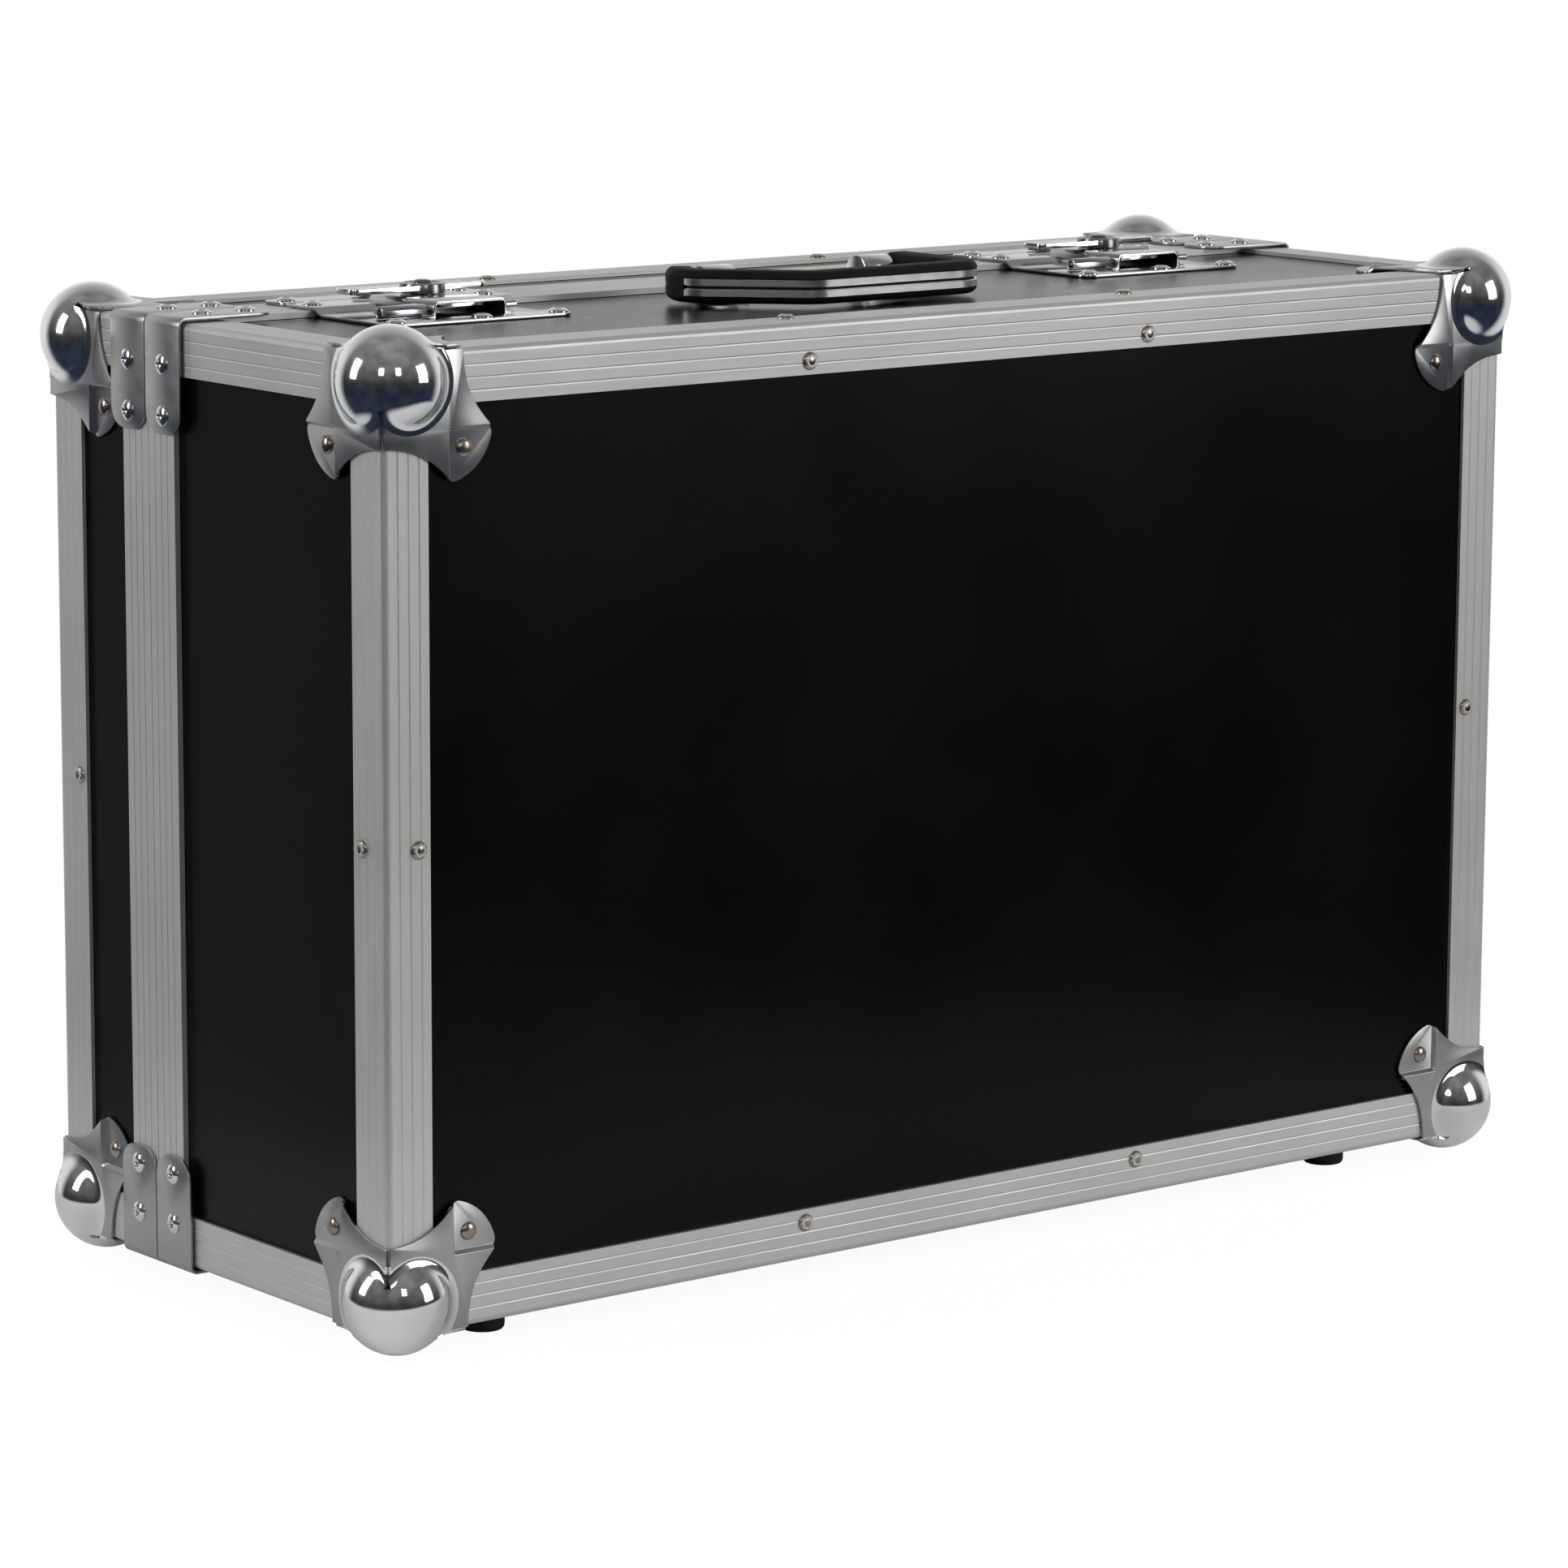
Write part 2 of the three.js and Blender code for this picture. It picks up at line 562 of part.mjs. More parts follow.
// The whole ball corner in its own frame.
function ballCorner() {
  const centre = BALL_INSET;
  const sphere = (radius) => {
    const ball = new THREE.SphereGeometry(radius, BALL_SEGMENTS, BALL_RINGS);
    ball.translate(centre, centre, centre);
    return solid(ball);
  };
  const reach = BALL_RADIUS + BALL_INSET + OVERRUN;
  const inside = block([-SEAT, -SEAT, -SEAT], [reach, reach, reach]);
  const onTop = geometryOf(flap());
  const third = (ex, ey, ez) => solid(placed(onTop.clone(), vec(0, 0, 0), ex, ey, ez));
  const flaps = join([
    third(AXIS_X, AXIS_Y, AXIS_Z),
    third(AXIS_Y, AXIS_Z, AXIS_X),
    third(AXIS_Z, AXIS_X, AXIS_Y),
  ]);
  const underBall = block([-OVERRUN, -OVERRUN, -OVERRUN], [centre, centre, centre]);
  const shell = sphere(BALL_RADIUS).subtract(inside);
  return join([shell, flaps.subtract(underBall)]).subtract(sphere(BALL_RADIUS - BALL_WALL));
}

// The lid is shallow, so its corners' flaps are cut short beside the braces.
function trimmedCorner(body, limit) {
  const far = limit + FLAP_LOBE + OVERRUN;
  return body.subtract(block([-far, limit, -far], [far, far, far]));
}

function addBallCorners(parent, half, faceY, inward, flapLimit) {
  const corner = geometryOf(trimmedCorner(ballCorner(), flapLimit));
  for (const [sideName, sx] of [['left', -1], ['right', 1]]) {
    for (const [levelName, sz, z] of [['top', 1, TOP_Z], ['bottom', -1, BOTTOM_Z]]) {
      const place = vec(sx * HALF_LENGTH, faceY, z);
      const made = placed(corner.clone(), place, vec(-sx, 0, 0), vec(0, inward, 0), vec(0, 0, -sz));
      addPiece(parent, `${half}_${levelName}_${sideName}_ball_corner`, solid(made), chrome(), place);
    }
  }
}

// A brace in its own frame: legs along +X and +Y from a bend at the origin, width along Z.
// The legs' inner faces lie on the axes.
function brace() {
  const reach = BRACE_REACH + FRAME_PROUD + SEAT;
  const half = BRACE_WIDTH / 2;
  const outer = BRACE_BEND + STEEL;
  const centre = [BRACE_BEND, BRACE_BEND];
  const bend = shapeOf([
    ...arc(centre, outer, Math.PI, Math.PI * 1.5, BEND_STEPS),
    [BRACE_BEND + OVERLAP, -STEEL],
    [BRACE_BEND + OVERLAP, 0],
    ...arc(centre, BRACE_BEND, Math.PI * 1.5, Math.PI, BEND_STEPS),
    [0, BRACE_BEND + OVERLAP],
    [-STEEL, BRACE_BEND + OVERLAP],
  ]);
  const quarter = Math.PI / 2;
  const tip = reach - BRACE_END_RADIUS;
  const rise = half - BRACE_END_RADIUS;
  const leg = shapeOf([
    [BRACE_BEND, -half],
    ...arc([tip, -rise], BRACE_END_RADIUS, -quarter, 0, BEND_STEPS),
    ...arc([tip, rise], BRACE_END_RADIUS, 0, quarter, BEND_STEPS),
    [BRACE_BEND, half],
  ]);
  const places = BRACE_RIVETS.map((a) => vec(a + FRAME_PROUD + SEAT, 0, STEEL));
  const heads = rivetHeads(places, AXIS_Z, AXIS_X, POP_RADIUS, POP_HEIGHT);
  const flat = join([solid(slab(leg, 0, STEEL)), ...heads]);
  const legGeometry = geometryOf(flat);
  const first = solid(placed(legGeometry.clone(), vec(0, 0, 0), AXIS_X, AXIS_Z, vec(0, -1, 0)));
  const second = solid(placed(legGeometry.clone(), vec(0, 0, 0), AXIS_Y, AXIS_Z, vec(-1, 0, 0)));
  return join([solid(slab(bend, -half, half)), first, second]);
}

function addBraces(parent, half, y) {
  const shape = geometryOf(brace());
  const out = FRAME_PROUD + SEAT;
  for (const [sideName, sx] of [['left', -1], ['right', 1]]) {
    for (const [levelName, sz, z] of [['top', 1, TOP_Z + out], ['bottom', -1, BOTTOM_Z - out]]) {
      const place = vec(sx * (HALF_LENGTH + out), y, z);
      const made = placed(shape.clone(), place, vec(-sx, 0, 0), vec(0, 0, -sz), AXIS_Y);
      addPiece(parent, `${half}_${levelName}_${sideName}_brace`, solid(made), chrome(), place);
    }
  }
}

// Round rubber feet under the bottom panel.
function addFeet(parent, half, y) {
  const height = PANEL_BOTTOM_Z - SEAT;
  const profile = [
    new THREE.Vector2(0, 0),
    new THREE.Vector2(FOOT_RADIUS - FOOT_CHAMFER, 0),
    new THREE.Vector2(FOOT_RADIUS, FOOT_CHAMFER),
    new THREE.Vector2(FOOT_RADIUS, height),
    new THREE.Vector2(0, height),
  ];
  for (const [sideName, sx] of [['left', -1], ['right', 1]]) {
    const foot = new THREE.LatheGeometry(profile, ROUND_SIDES);
    foot.rotateX(Math.PI / 2);
    const place = vec(sx * (HALF_LENGTH - FOOT_FROM_END), y, 0);
    foot.translate(place.x, place.y, 0);
    addPiece(parent, `${half}_${sideName}_foot`, solid(foot), rubber(), place);
  }
}

// One hinge at x: the base leaf carries the pin, the lid leaf the middle knuckle.
function hingeLeaves(x) {
  const half = HINGE_LENGTH / 2;
  const plateHigh = BOTTOM_Z - FRAME_PROUD - SEAT;
  const plateLow = plateHigh - HINGE_STEEL;
  const middle = HINGE_LENGTH * KNUCKLE_SHARE;
  const inner = middle / 2;
  const axis = [SEAM_Y, HINGE_Z];
  const barrel = (from, to) => roundBar(KNUCKLE_RADIUS, 'x', x + from, x + to, axis, HINGE_SIDES);
  const plate = (y0, y1, from, to) => block([x + from, y0, plateLow], [x + to, y1, plateHigh]);
  const rivets = (y) => {
    const places = HINGE_RIVET_SHARES.map((share) => vec(x + share * HINGE_LENGTH, y, plateLow));
    return rivetHeads(places, vec(0, 0, -1), AXIS_X, POP_RADIUS, POP_HEIGHT);
  };
  const webReach = KNUCKLE_RELIEF + OVERLAP;
  const web = (side, from, to) => (side < 0
    ? plate(SEAM_Y - webReach, SEAM_Y, from, to)
    : plate(SEAM_Y, SEAM_Y + webReach, from, to));
  const leaf = (side) => (side < 0
    ? plate(SEAM_Y - HINGE_LEAF, SEAM_Y - KNUCKLE_RELIEF, -half, half)
    : plate(SEAM_Y + KNUCKLE_RELIEF, SEAM_Y + HINGE_LEAF, -half, half));
  const rivetOut = HINGE_LEAF * HINGE_RIVET_OUT_SHARE;
  const outer = inner + KNUCKLE_GAP;
  const pin = roundBar(HINGE_PIN_RADIUS, 'x', x - half, x + half, axis, HINGE_SIDES);
  const base = join([
    leaf(-1), web(-1, -half, -outer), web(-1, outer, half),
    barrel(-half, -outer), barrel(outer, half), pin, ...rivets(SEAM_Y - rivetOut),
  ]);
  const bore = roundBar(HINGE_BORE_RADIUS, 'x', x - half, x + half, axis, HINGE_SIDES);
  const lidParts = [leaf(1), web(1, -inner, inner), barrel(-inner, inner), ...rivets(SEAM_Y + rivetOut)];
  const lid = join(lidParts).subtract(bore);
  return { base, lid };
}

function addHinges(base, lid) {
  for (const [sideName, sx] of [['left', -1], ['right', 1]]) {
    const x = sx * (HALF_LENGTH - HINGE_FROM_END);
    const leaves = hingeLeaves(x);
    const place = vec(x, SEAM_Y, HINGE_Z);
    addPiece(base, `${sideName}_hinge_base_leaf`, leaves.base, chrome(), place);
    addPiece(lid, `${sideName}_hinge_lid_leaf`, leaves.lid, chrome(), place);
  }
}

// Direction from one plan point to another.
const heading = (from, to) => to.clone().sub(from).normalize();

// Corners of the handle's centre line in plan, from the left pivot to the right one.
function handleCorners() {
  return [
    [-LEFT_ARM, PIVOT_Y],
    [-LEFT_ARM - SHOULDER_OUT, PIVOT_Y - SHOULDER_FROM_PIVOT],
    [-GRIP_LEFT, PIVOT_Y - GRIP_FROM_PIVOT],
    [RIGHT_ARM, PIVOT_Y - GRIP_FROM_PIVOT],
    [RIGHT_ARM, PIVOT_Y],
  ].map(([x, y]) => new THREE.Vector2(x, y));
}

// Points and normals along a centre line whose inner corners are rounded bends. With a length
// to skip, the line starts that far round its first bend.
function bentPath(corners, skipped = 0) {
  const points = [];
  const push = (point, direction) => {
    const normal = new THREE.Vector2(direction.y, -direction.x);
    points.push({ point, normal });
  };
  const end = corners.length - 1;
  if (skipped === 0) push(corners[0], heading(corners[0], corners[1]));
  for (let i = 1; i < end; i += 1) {
    const into = heading(corners[i - 1], corners[i]);
    const out = heading(corners[i], corners[i + 1]);
    const turn = Math.atan2(into.x * out.y - into.y * out.x, into.dot(out));
    const cut = GRIP_BEND_RADIUS * Math.tan(Math.abs(turn) / 2);
    const begin = corners[i].clone().addScaledVector(into, -cut);
    const side = new THREE.Vector2(-into.y, into.x).multiplyScalar(Math.sign(turn));
    const centre = begin.clone().addScaledVector(side, GRIP_BEND_RADIUS);
    const first = i === 1 ? (Math.sign(turn) * skipped) / GRIP_BEND_RADIUS : 0;
    for (let k = 0; k <= BEND_STEPS; k += 1) {
      const angle = first + ((turn - first) * k) / BEND_STEPS;
      const point = begin.clone().rotateAround(centre, angle);
      push(point, into.clone().rotateAround(new THREE.Vector2(0, 0), angle));
    }
  }
  push(corners[end], heading(corners[end - 1], corners[end]));
  return points;
}

// The stretch that the band follows, from half way round the shoulder to the right arm.
function bandPath(spare) {
  const corners = handleCorners();
  const [pivot, rightCorner] = [...corners].reverse();
  pivot.addScaledVector(heading(pivot, rightCorner), BAND_FROM_PIVOT - spare);
  return bentPath(corners, BAND_FROM_BEND - spare);
}

// Plan outline of a strip along a centre line, from an offset outwards to an offset inwards.
function bentStrip(path, outward, inward) {
  const offset = (amount) => path.map(({ point, normal }) => {
    const moved = point.clone().addScaledVector(normal, amount);
    return moved.toArray();
  });
  return shapeOf([...offset(outward), ...offset(-inward).reverse()]);
}

function addHandle(parent, brackets) {
  const half = GRIP_DEPTH / 2;
  const axisZ = PANEL_TOP_Z + GRIP_CLEARANCE + GRIP_THICKNESS / 2;
  const low = axisZ - GRIP_THICKNESS / 2;
  const high = axisZ + GRIP_THICKNESS / 2;
  const bandHigh = axisZ + BAND_HEIGHT / 2 - BAND_DROP;
  const bandLow = axisZ - BAND_HEIGHT / 2 - BAND_DROP;
  const path = bentPath(handleCorners());
  const layer = (trim, z0, z1) => solid(slab(bentStrip(path, half - trim, half - trim), z0, z1));
  const full = layer(0, low + GRIP_CHAMFER, high - GRIP_CHAMFER);
  const slim = layer(GRIP_CHAMFER * GRIP_SLIM_SHARE, low, high);
  const acrossArms = (radius, reach) => [-LEFT_ARM, RIGHT_ARM].map(
    (x) => roundBar(radius, 'x', x - reach, x + reach, [PIVOT_Y, axisZ], ROUND_SIDES),
  );
  const eyes = acrossArms(GRIP_THICKNESS / 2, half);
  const bores = acrossArms(HANDLE_BORE_RADIUS, half + OVERRUN);
  const seatDepth = half - BAND_THICKNESS - SEAT;
  const recessStrip = bentStrip(bandPath(SEAT), half + OVERRUN, -seatDepth);
  const recess = solid(slab(recessStrip, bandLow - SEAT, bandHigh + SEAT));
  const grip = join([full, slim, ...eyes]).subtract(recess).subtract(join(bores));
  const band = solid(slab(bentStrip(bandPath(0), half, -half + BAND_THICKNESS), bandLow, bandHigh));
  const pivot = vec(0, PIVOT_Y, axisZ);
  addPiece(parent, 'handle_grip', grip, moulding(), pivot);
  addPiece(parent, 'handle_band', band, chrome(), pivot);
  for (const [sideName, x, inward] of [['left', -LEFT_ARM, 1], ['right', RIGHT_ARM, -1]]) {
    const place = vec(x, PIVOT_Y, PANEL_TOP_Z);
    addPiece(brackets, `${sideName}_handle_bracket`, handleBracket(x, inward, axisZ), chrome(), place);
  }
}

// Riveted saddle beside an arm at armX, which holds the pivot pin of that arm.
function handleBracket(armX, inward, axisZ) {
  const saddleOut = armX + inward * (GRIP_DEPTH / 2 + SADDLE_FROM_ARM);
  const saddleIn = saddleOut + inward * SADDLE_LENGTH;
  const pinOut = armX - inward * (GRIP_DEPTH / 2);
  const pinIn = saddleIn - inward * OVERLAP;
  const low = PANEL_TOP_Z + SEAT;
  const span = (a, b) => [Math.min(a, b), Math.max(a, b)];
  const [x0, x1] = span(saddleIn, saddleOut);
  const [pin0, pin1] = span(pinIn, pinOut);
  const plateMiddle = (x0 + x1) / 2;
  const halfLong = BRACKET_LENGTH / 2;
  const halfWide = BRACKET_WIDTH / 2;
  const outline = shapeOf(roundedRectangle(
    plateMiddle - halfLong, plateMiddle + halfLong, PIVOT_Y - halfWide, PIVOT_Y + halfWide,
    BRACKET_RADIUS, BEND_STEPS,
  ));
  const plate = solid(slab(outline, low, low + STEEL));
  const saddle = roundBar(SADDLE_RADIUS, 'x', x0, x1, [PIVOT_Y, axisZ], ROUND_SIDES);
  const pedestal = block([x0, PIVOT_Y - SADDLE_RADIUS, low], [x1, PIVOT_Y + SADDLE_RADIUS, axisZ]);
  const pin = roundBar(HANDLE_PIN_RADIUS, 'x', pin0, pin1, [PIVOT_Y, axisZ], ROUND_SIDES);
  const rivetOut = (halfWide + SADDLE_RADIUS) / 2;
  const places = [-1, 1].map((side) => vec(plateMiddle, PIVOT_Y + side * rivetOut, low + STEEL));
  return join([plate, saddle, pedestal, pin, ...rivetHeads(places, AXIS_Z, AXIS_X, POP_RADIUS, POP_HEIGHT)]);
}

// Heights of the latch's layers
const latchPlateLow = PANEL_TOP_Z + SEAT;
const latchPlateHigh = FRAME_TOP_Z + SEAT;
const hookLow = latchPlateHigh + STEEL + HOOK_LIFT;
const hookHigh = hookLow + HOOK_THICKNESS;
const roofLow = hookHigh + HOOK_LIFT;
const roofHigh = roofLow + STEEL;
const hubLow = roofHigh + SEAT;
const hubHigh = hubLow + HUB_HEIGHT;

// The latch's base plate, joggled up on to the split frame, with the housing that guides the hook.
function latchPlate(x) {
  const w = LATCH_HALF_WIDTH;
  const back = SEAM_Y - BRACE_GAP;
  const step = BASE_FRAME_Y - SEAT - STEEL;
  const quarter = Math.PI / 2;
  const r = LATCH_FRONT_RADIUS;
  const ear = LATCH_RIGHT_EAR;
  const outline = shapeOf([
    ...arc([x - w + r, LATCH_FRONT + r], r, Math.PI, Math.PI + quarter, BEND_STEPS),
    ...arc([x + ear - r, LATCH_FRONT + r], r, -quarter, 0, BEND_STEPS),
    ...arc([x + ear - r, LATCH_WAIST_FRONT - r], r, 0, quarter, BEND_STEPS),
    [x + LATCH_WAIST, LATCH_WAIST_FRONT + r],
    [x + LATCH_WAIST, LATCH_WAIST_BACK - r],
    [x + w, LATCH_WAIST_BACK + r],
    [x + w, back],
    [x - w, back],
  ]);
  const section = shapeOf([
    [LATCH_FRONT - OVERRUN, latchPlateLow],
    [step + STEEL, latchPlateLow],
    [step + STEEL, latchPlateHigh],
    [back + OVERRUN, latchPlateHigh],
    [back + OVERRUN, latchPlateHigh + STEEL],
    [step, latchPlateHigh + STEEL],
    [step, latchPlateLow + STEEL],
    [LATCH_FRONT - OVERRUN, latchPlateLow + STEEL],
  ]);
  const pressing = slab(section, x - w - OVERRUN, x + w + OVERRUN);
  const sheet = solid(placed(pressing, vec(0, 0, 0), AXIS_Y, AXIS_Z, AXIS_X));
  const plan = solid(slab(outline, latchPlateLow - OVERRUN, latchPlateHigh + OVERRUN));
  const housing = block(
    [x - HOUSING_HALF, HOUSING_FRONT, latchPlateLow],
    [x + HOUSING_HALF, HOUSING_BACK, roofHigh],
  );
  const channel = block(
    [x - HOUSING_HALF + STEEL, HOUSING_FRONT - OVERRUN, latchPlateLow + STEEL],
    [x + HOUSING_HALF - STEEL, step, roofLow],
  );
  const channelBack = block(
    [x - HOUSING_HALF + STEEL, step - OVERLAP, latchPlateHigh + STEEL],
    [x + HOUSING_HALF - STEEL, HOUSING_BACK + OVERRUN, roofLow],
  );
  const underStep = block([x - w, step + STEEL, latchPlateLow - OVERRUN], [x + w, back, latchPlateHigh]);
  const holeRadius = STUB_RADIUS + STUB_CLEARANCE;
  const hole = roundBar(holeRadius, 'z', roofLow - OVERLAP, roofHigh + OVERLAP, [x, HUB_Y], ROUND_SIDES);
  const slotPin = roundBar(
    SLOT_PIN_RADIUS, 'x', x + HOUSING_HALF - OVERLAP, x + HOUSING_HALF + SLOT_PIN_END,
    [HOUSING_FRONT + SLOT_PIN_RADIUS * 2, (latchPlateLow + STEEL + roofHigh) / 2], HINGE_SIDES,
  );
  const front = LATCH_FRONT_RIVETS.map((dx) => vec(x + dx, LATCH_FRONT_RIVET_Y, latchPlateLow + STEEL));
  const sideY = (BASE_FRAME_Y + SEAM_Y) / 2;
  const sides = [-1, 1].map((s) => vec(x + s * LATCH_SIDE_RIVET, sideY, latchPlateHigh + STEEL));
  const heads = rivetHeads([...front, ...sides], AXIS_Z, AXIS_X, POP_RADIUS, POP_HEIGHT);
  const cover = housing.subtract(channel).subtract(channelBack).subtract(underStep);
  return join([sheet.intersect(plan), cover.subtract(hole), slotPin, ...heads]);
}

// The sliding hook: a plate with a cross slot for the crank pin and a rolled claw over the keeper.
function latchHook(x) {
  const tip = SEAM_Y + HOOK_OVER_KEEPER;
  const plate = block([x - HOOK_HALF, HOOK_TAIL, hookLow], [x + HOOK_HALF, tip, hookHigh]);
  const clawAxis = [tip, hookLow + HOOK_CLAW_RADIUS];
  const claw = roundBar(HOOK_CLAW_RADIUS, 'x', x - HOOK_HALF, x + HOOK_HALF, clawAxis, HINGE_SIDES);
  const crankY = HUB_Y + HOOK_TRAVEL / 2;
  const slotHalf = CRANK_RADIUS + CRANK_SLOT_CLEARANCE;
  const slotLong = HOOK_TRAVEL / 2 + slotHalf;
  const slot = block(
    [x - slotLong, crankY - slotHalf, hookLow - OVERRUN],
    [x + slotLong, crankY + slotHalf, hookHigh + OVERRUN],
  );
  return join([plate, claw]).subtract(slot);
}

// The twist wing: a crowned hub with two flat arms, and below it the stub and its crank pin.
function latchWing(x) {
  const crown = [
    new THREE.Vector2(0, hubLow),
    new THREE.Vector2(HUB_RADIUS, hubLow),
    new THREE.Vector2(HUB_RADIUS, hubHigh - HUB_CROWN / 2),
    new THREE.Vector2(HUB_RADIUS - HUB_CROWN, hubHigh),
    new THREE.Vector2(POP_RADIUS, hubHigh + HUB_CROWN / 2),
    new THREE.Vector2(POP_RADIUS - HUB_CROWN, hubHigh + HUB_CROWN),
    new THREE.Vector2(0, hubHigh + HUB_CROWN),
  ];
  const hubGeometry = new THREE.LatheGeometry(crown, ROUND_SIDES);
  hubGeometry.rotateX(Math.PI / 2);
  hubGeometry.translate(x, HUB_Y, 0);
  const quarter = Math.PI / 2;
  const armHigh = hubHigh - HUB_CROWN / 2;
  const r = WING_HALF / 2;
  const arms = shapeOf([
    ...arc([x - WING_LEFT + r, HUB_Y + WING_HALF - r], r, quarter, Math.PI, BEND_STEPS),
    ...arc([x - WING_LEFT + r, HUB_Y - WING_HALF + r], r, Math.PI, Math.PI + quarter, BEND_STEPS),
    ...arc([x + WING_RIGHT - r, HUB_Y - WING_HALF + r], r, -quarter, 0, BEND_STEPS),
    ...arc([x + WING_RIGHT - r, HUB_Y + WING_HALF - r], r, 0, quarter, BEND_STEPS),
  ]);
  const wing = solid(slab(arms, armHigh - WING_THICKNESS, armHigh));
  const stub = roundBar(STUB_RADIUS, 'z', hookHigh + SEAT, hubLow + OVERLAP, [x, HUB_Y], ROUND_SIDES);
  const crankAxis = [x, HUB_Y + HOOK_TRAVEL / 2];
  const crank = roundBar(CRANK_RADIUS, 'z', hookLow, hookHigh + SEAT + OVERLAP, crankAxis, HINGE_SIDES);
  return join([solid(hubGeometry), wing, stub, crank]);
}

// The keeper plate on the lid's split frame.
function keeper(x) {
  const front = SEAM_Y + BRACE_GAP;
  const outline = shapeOf(roundedRectangle(
    x - LATCH_HALF_WIDTH, x + LATCH_HALF_WIDTH, front, LID_FRAME_Y, BRACKET_RADIUS, BEND_STEPS,
  ));
  const rivetY = (SEAM_Y + LID_FRAME_Y) / 2;
  const places = [-1, 1].map((s) => vec(x + s * KEEPER_RIVET, rivetY, latchPlateHigh + STEEL));
  return join([
    solid(slab(outline, latchPlateHigh, latchPlateHigh + STEEL)),
    ...rivetHeads(places, AXIS_Z, AXIS_X, POP_RADIUS, POP_HEIGHT),
  ]);
}

function addLatches(base, lid) {
  for (const [sideName, sx] of [['left', -1], ['right', 1]]) {
    const x = sx * (HALF_LENGTH - LATCH_FROM_END);
    const place = vec(x, HUB_Y, FRAME_TOP_Z);
    addPiece(base, `${sideName}_latch_plate`, latchPlate(x), chrome(), place);
    addPiece(base, `${sideName}_latch_hook`, latchHook(x), chrome(), place);
    addPiece(base, `${sideName}_latch_wing`, latchWing(x), chrome(), place);
    addPiece(lid, `${sideName}_latch_keeper`, keeper(x), chrome(), place);
  }
}

// Foam lining: a tray open towards the seam, between two places along Y.
function addLining(parent, name, floorY, mouthY) {
  const side = HALF_LENGTH - PANEL_IN;
  const low = BOTTOM_Z + PANEL_IN;
  const high = TOP_Z - PANEL_IN;
  const t = LINING_THICKNESS;
  const inward = Math.sign(mouthY - floorY);
  const y0 = Math.min(floorY, mouthY);
  const y1 = Math.max(floorY, mouthY);
  const hollowFloor = floorY + inward * t;
  const hollowMouth = mouthY + inward * OVERRUN;
  const outer = block([-side, y0, low], [side, y1, high]);
  const hollow = block(
    [-side + t, Math.min(hollowFloor, hollowMouth), low + t],
    [side - t, Math.max(hollowFloor, hollowMouth), high - t],
  );
  addPiece(parent, name, outer.subtract(hollow), foam());
}

const base = new THREE.Group();
const lid = new THREE.Group();
const handle = new THREE.Group();
group.add(base, lid, handle);

const faceIn = PANEL_SINK + PANEL_THICKNESS;
const frontFace = [FRONT_Y + PANEL_SINK, FRONT_Y + faceIn];
const backFace = [BACK_Y - faceIn, BACK_Y - PANEL_SINK];
addPanels(base, 'base', 'front_panel', frontFace, [FRONT_Y + PANEL_IN, BASE_MOUTH_Y]);
addPanels(lid, 'lid', 'back_panel', backFace, [LID_MOUTH_Y, BACK_Y - PANEL_IN]);
addBaseAngles(base);
addLidEdgeFrame(lid);
addSplitFrames(base, lid);
addBallCorners(base, 'base', FRONT_Y, 1, BASE_FRAME_Y - FRONT_Y);
addBallCorners(lid, 'lid', BACK_Y, -1, LID_DEPTH - BRACE_GAP / 2 - BRACE_WIDTH - SEAT);
const braceShift = (BRACE_WIDTH + BRACE_GAP) / 2;
addBraces(base, 'base', SEAM_Y - braceShift);
addBraces(lid, 'lid', SEAM_Y + braceShift);
addFeet(base, 'front', FRONT_Y + FRONT_FOOT_FROM_FRONT);
addFeet(lid, 'rear', (LID_FRAME_Y + BACK_Y - ANGLE_LEG) / 2);
addHinges(base, lid);
addHandle(handle, base);
addLatches(base, lid);
addLining(base, 'base_lining', FRONT_Y + PANEL_IN, BASE_FRAME_Y - SEAT);
addLining(lid, 'lid_lining', BACK_Y - PANEL_IN, SEAM_Y + LID_FLANGE_LENGTH + SEAT);

export default group;
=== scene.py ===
"""A black laminate flight case, dressed for its picture.

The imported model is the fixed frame. Panels, edge angles and split frames keep their solids and get finer
finishes. Corners, braces, rivets, latches, handle, hinges, feet and linings are modelled here and stand for
their solids. All sizes are metres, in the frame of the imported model.
"""

import logging
import math
from collections.abc import Callable, Sequence
from dataclasses import dataclass, field
from enum import Enum

import bmesh
import bpy
from mathutils import Matrix, Vector


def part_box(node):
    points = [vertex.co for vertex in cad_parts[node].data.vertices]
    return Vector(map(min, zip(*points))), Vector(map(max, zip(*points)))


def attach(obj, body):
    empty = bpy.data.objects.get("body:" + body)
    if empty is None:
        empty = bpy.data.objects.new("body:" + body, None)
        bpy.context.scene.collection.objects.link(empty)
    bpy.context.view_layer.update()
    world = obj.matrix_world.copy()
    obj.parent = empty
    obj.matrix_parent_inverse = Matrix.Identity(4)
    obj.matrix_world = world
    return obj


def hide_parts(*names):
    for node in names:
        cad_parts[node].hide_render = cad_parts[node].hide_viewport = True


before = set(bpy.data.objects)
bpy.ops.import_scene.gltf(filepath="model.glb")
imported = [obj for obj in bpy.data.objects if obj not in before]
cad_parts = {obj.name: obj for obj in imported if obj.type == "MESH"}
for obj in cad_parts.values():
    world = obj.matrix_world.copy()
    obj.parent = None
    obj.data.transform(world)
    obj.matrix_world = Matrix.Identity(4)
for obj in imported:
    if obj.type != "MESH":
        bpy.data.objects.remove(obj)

LOG = logging.getLogger("flight_case")
MM = 0.001
SMOOTH_ANGLE = math.radians(32)

# How far a point may lie from a plane and still be picked with it.
PICK = 0.01 * MM
# Points nearer than this become one at a turned form's poles.
POLE_MERGE = 0.001 * MM
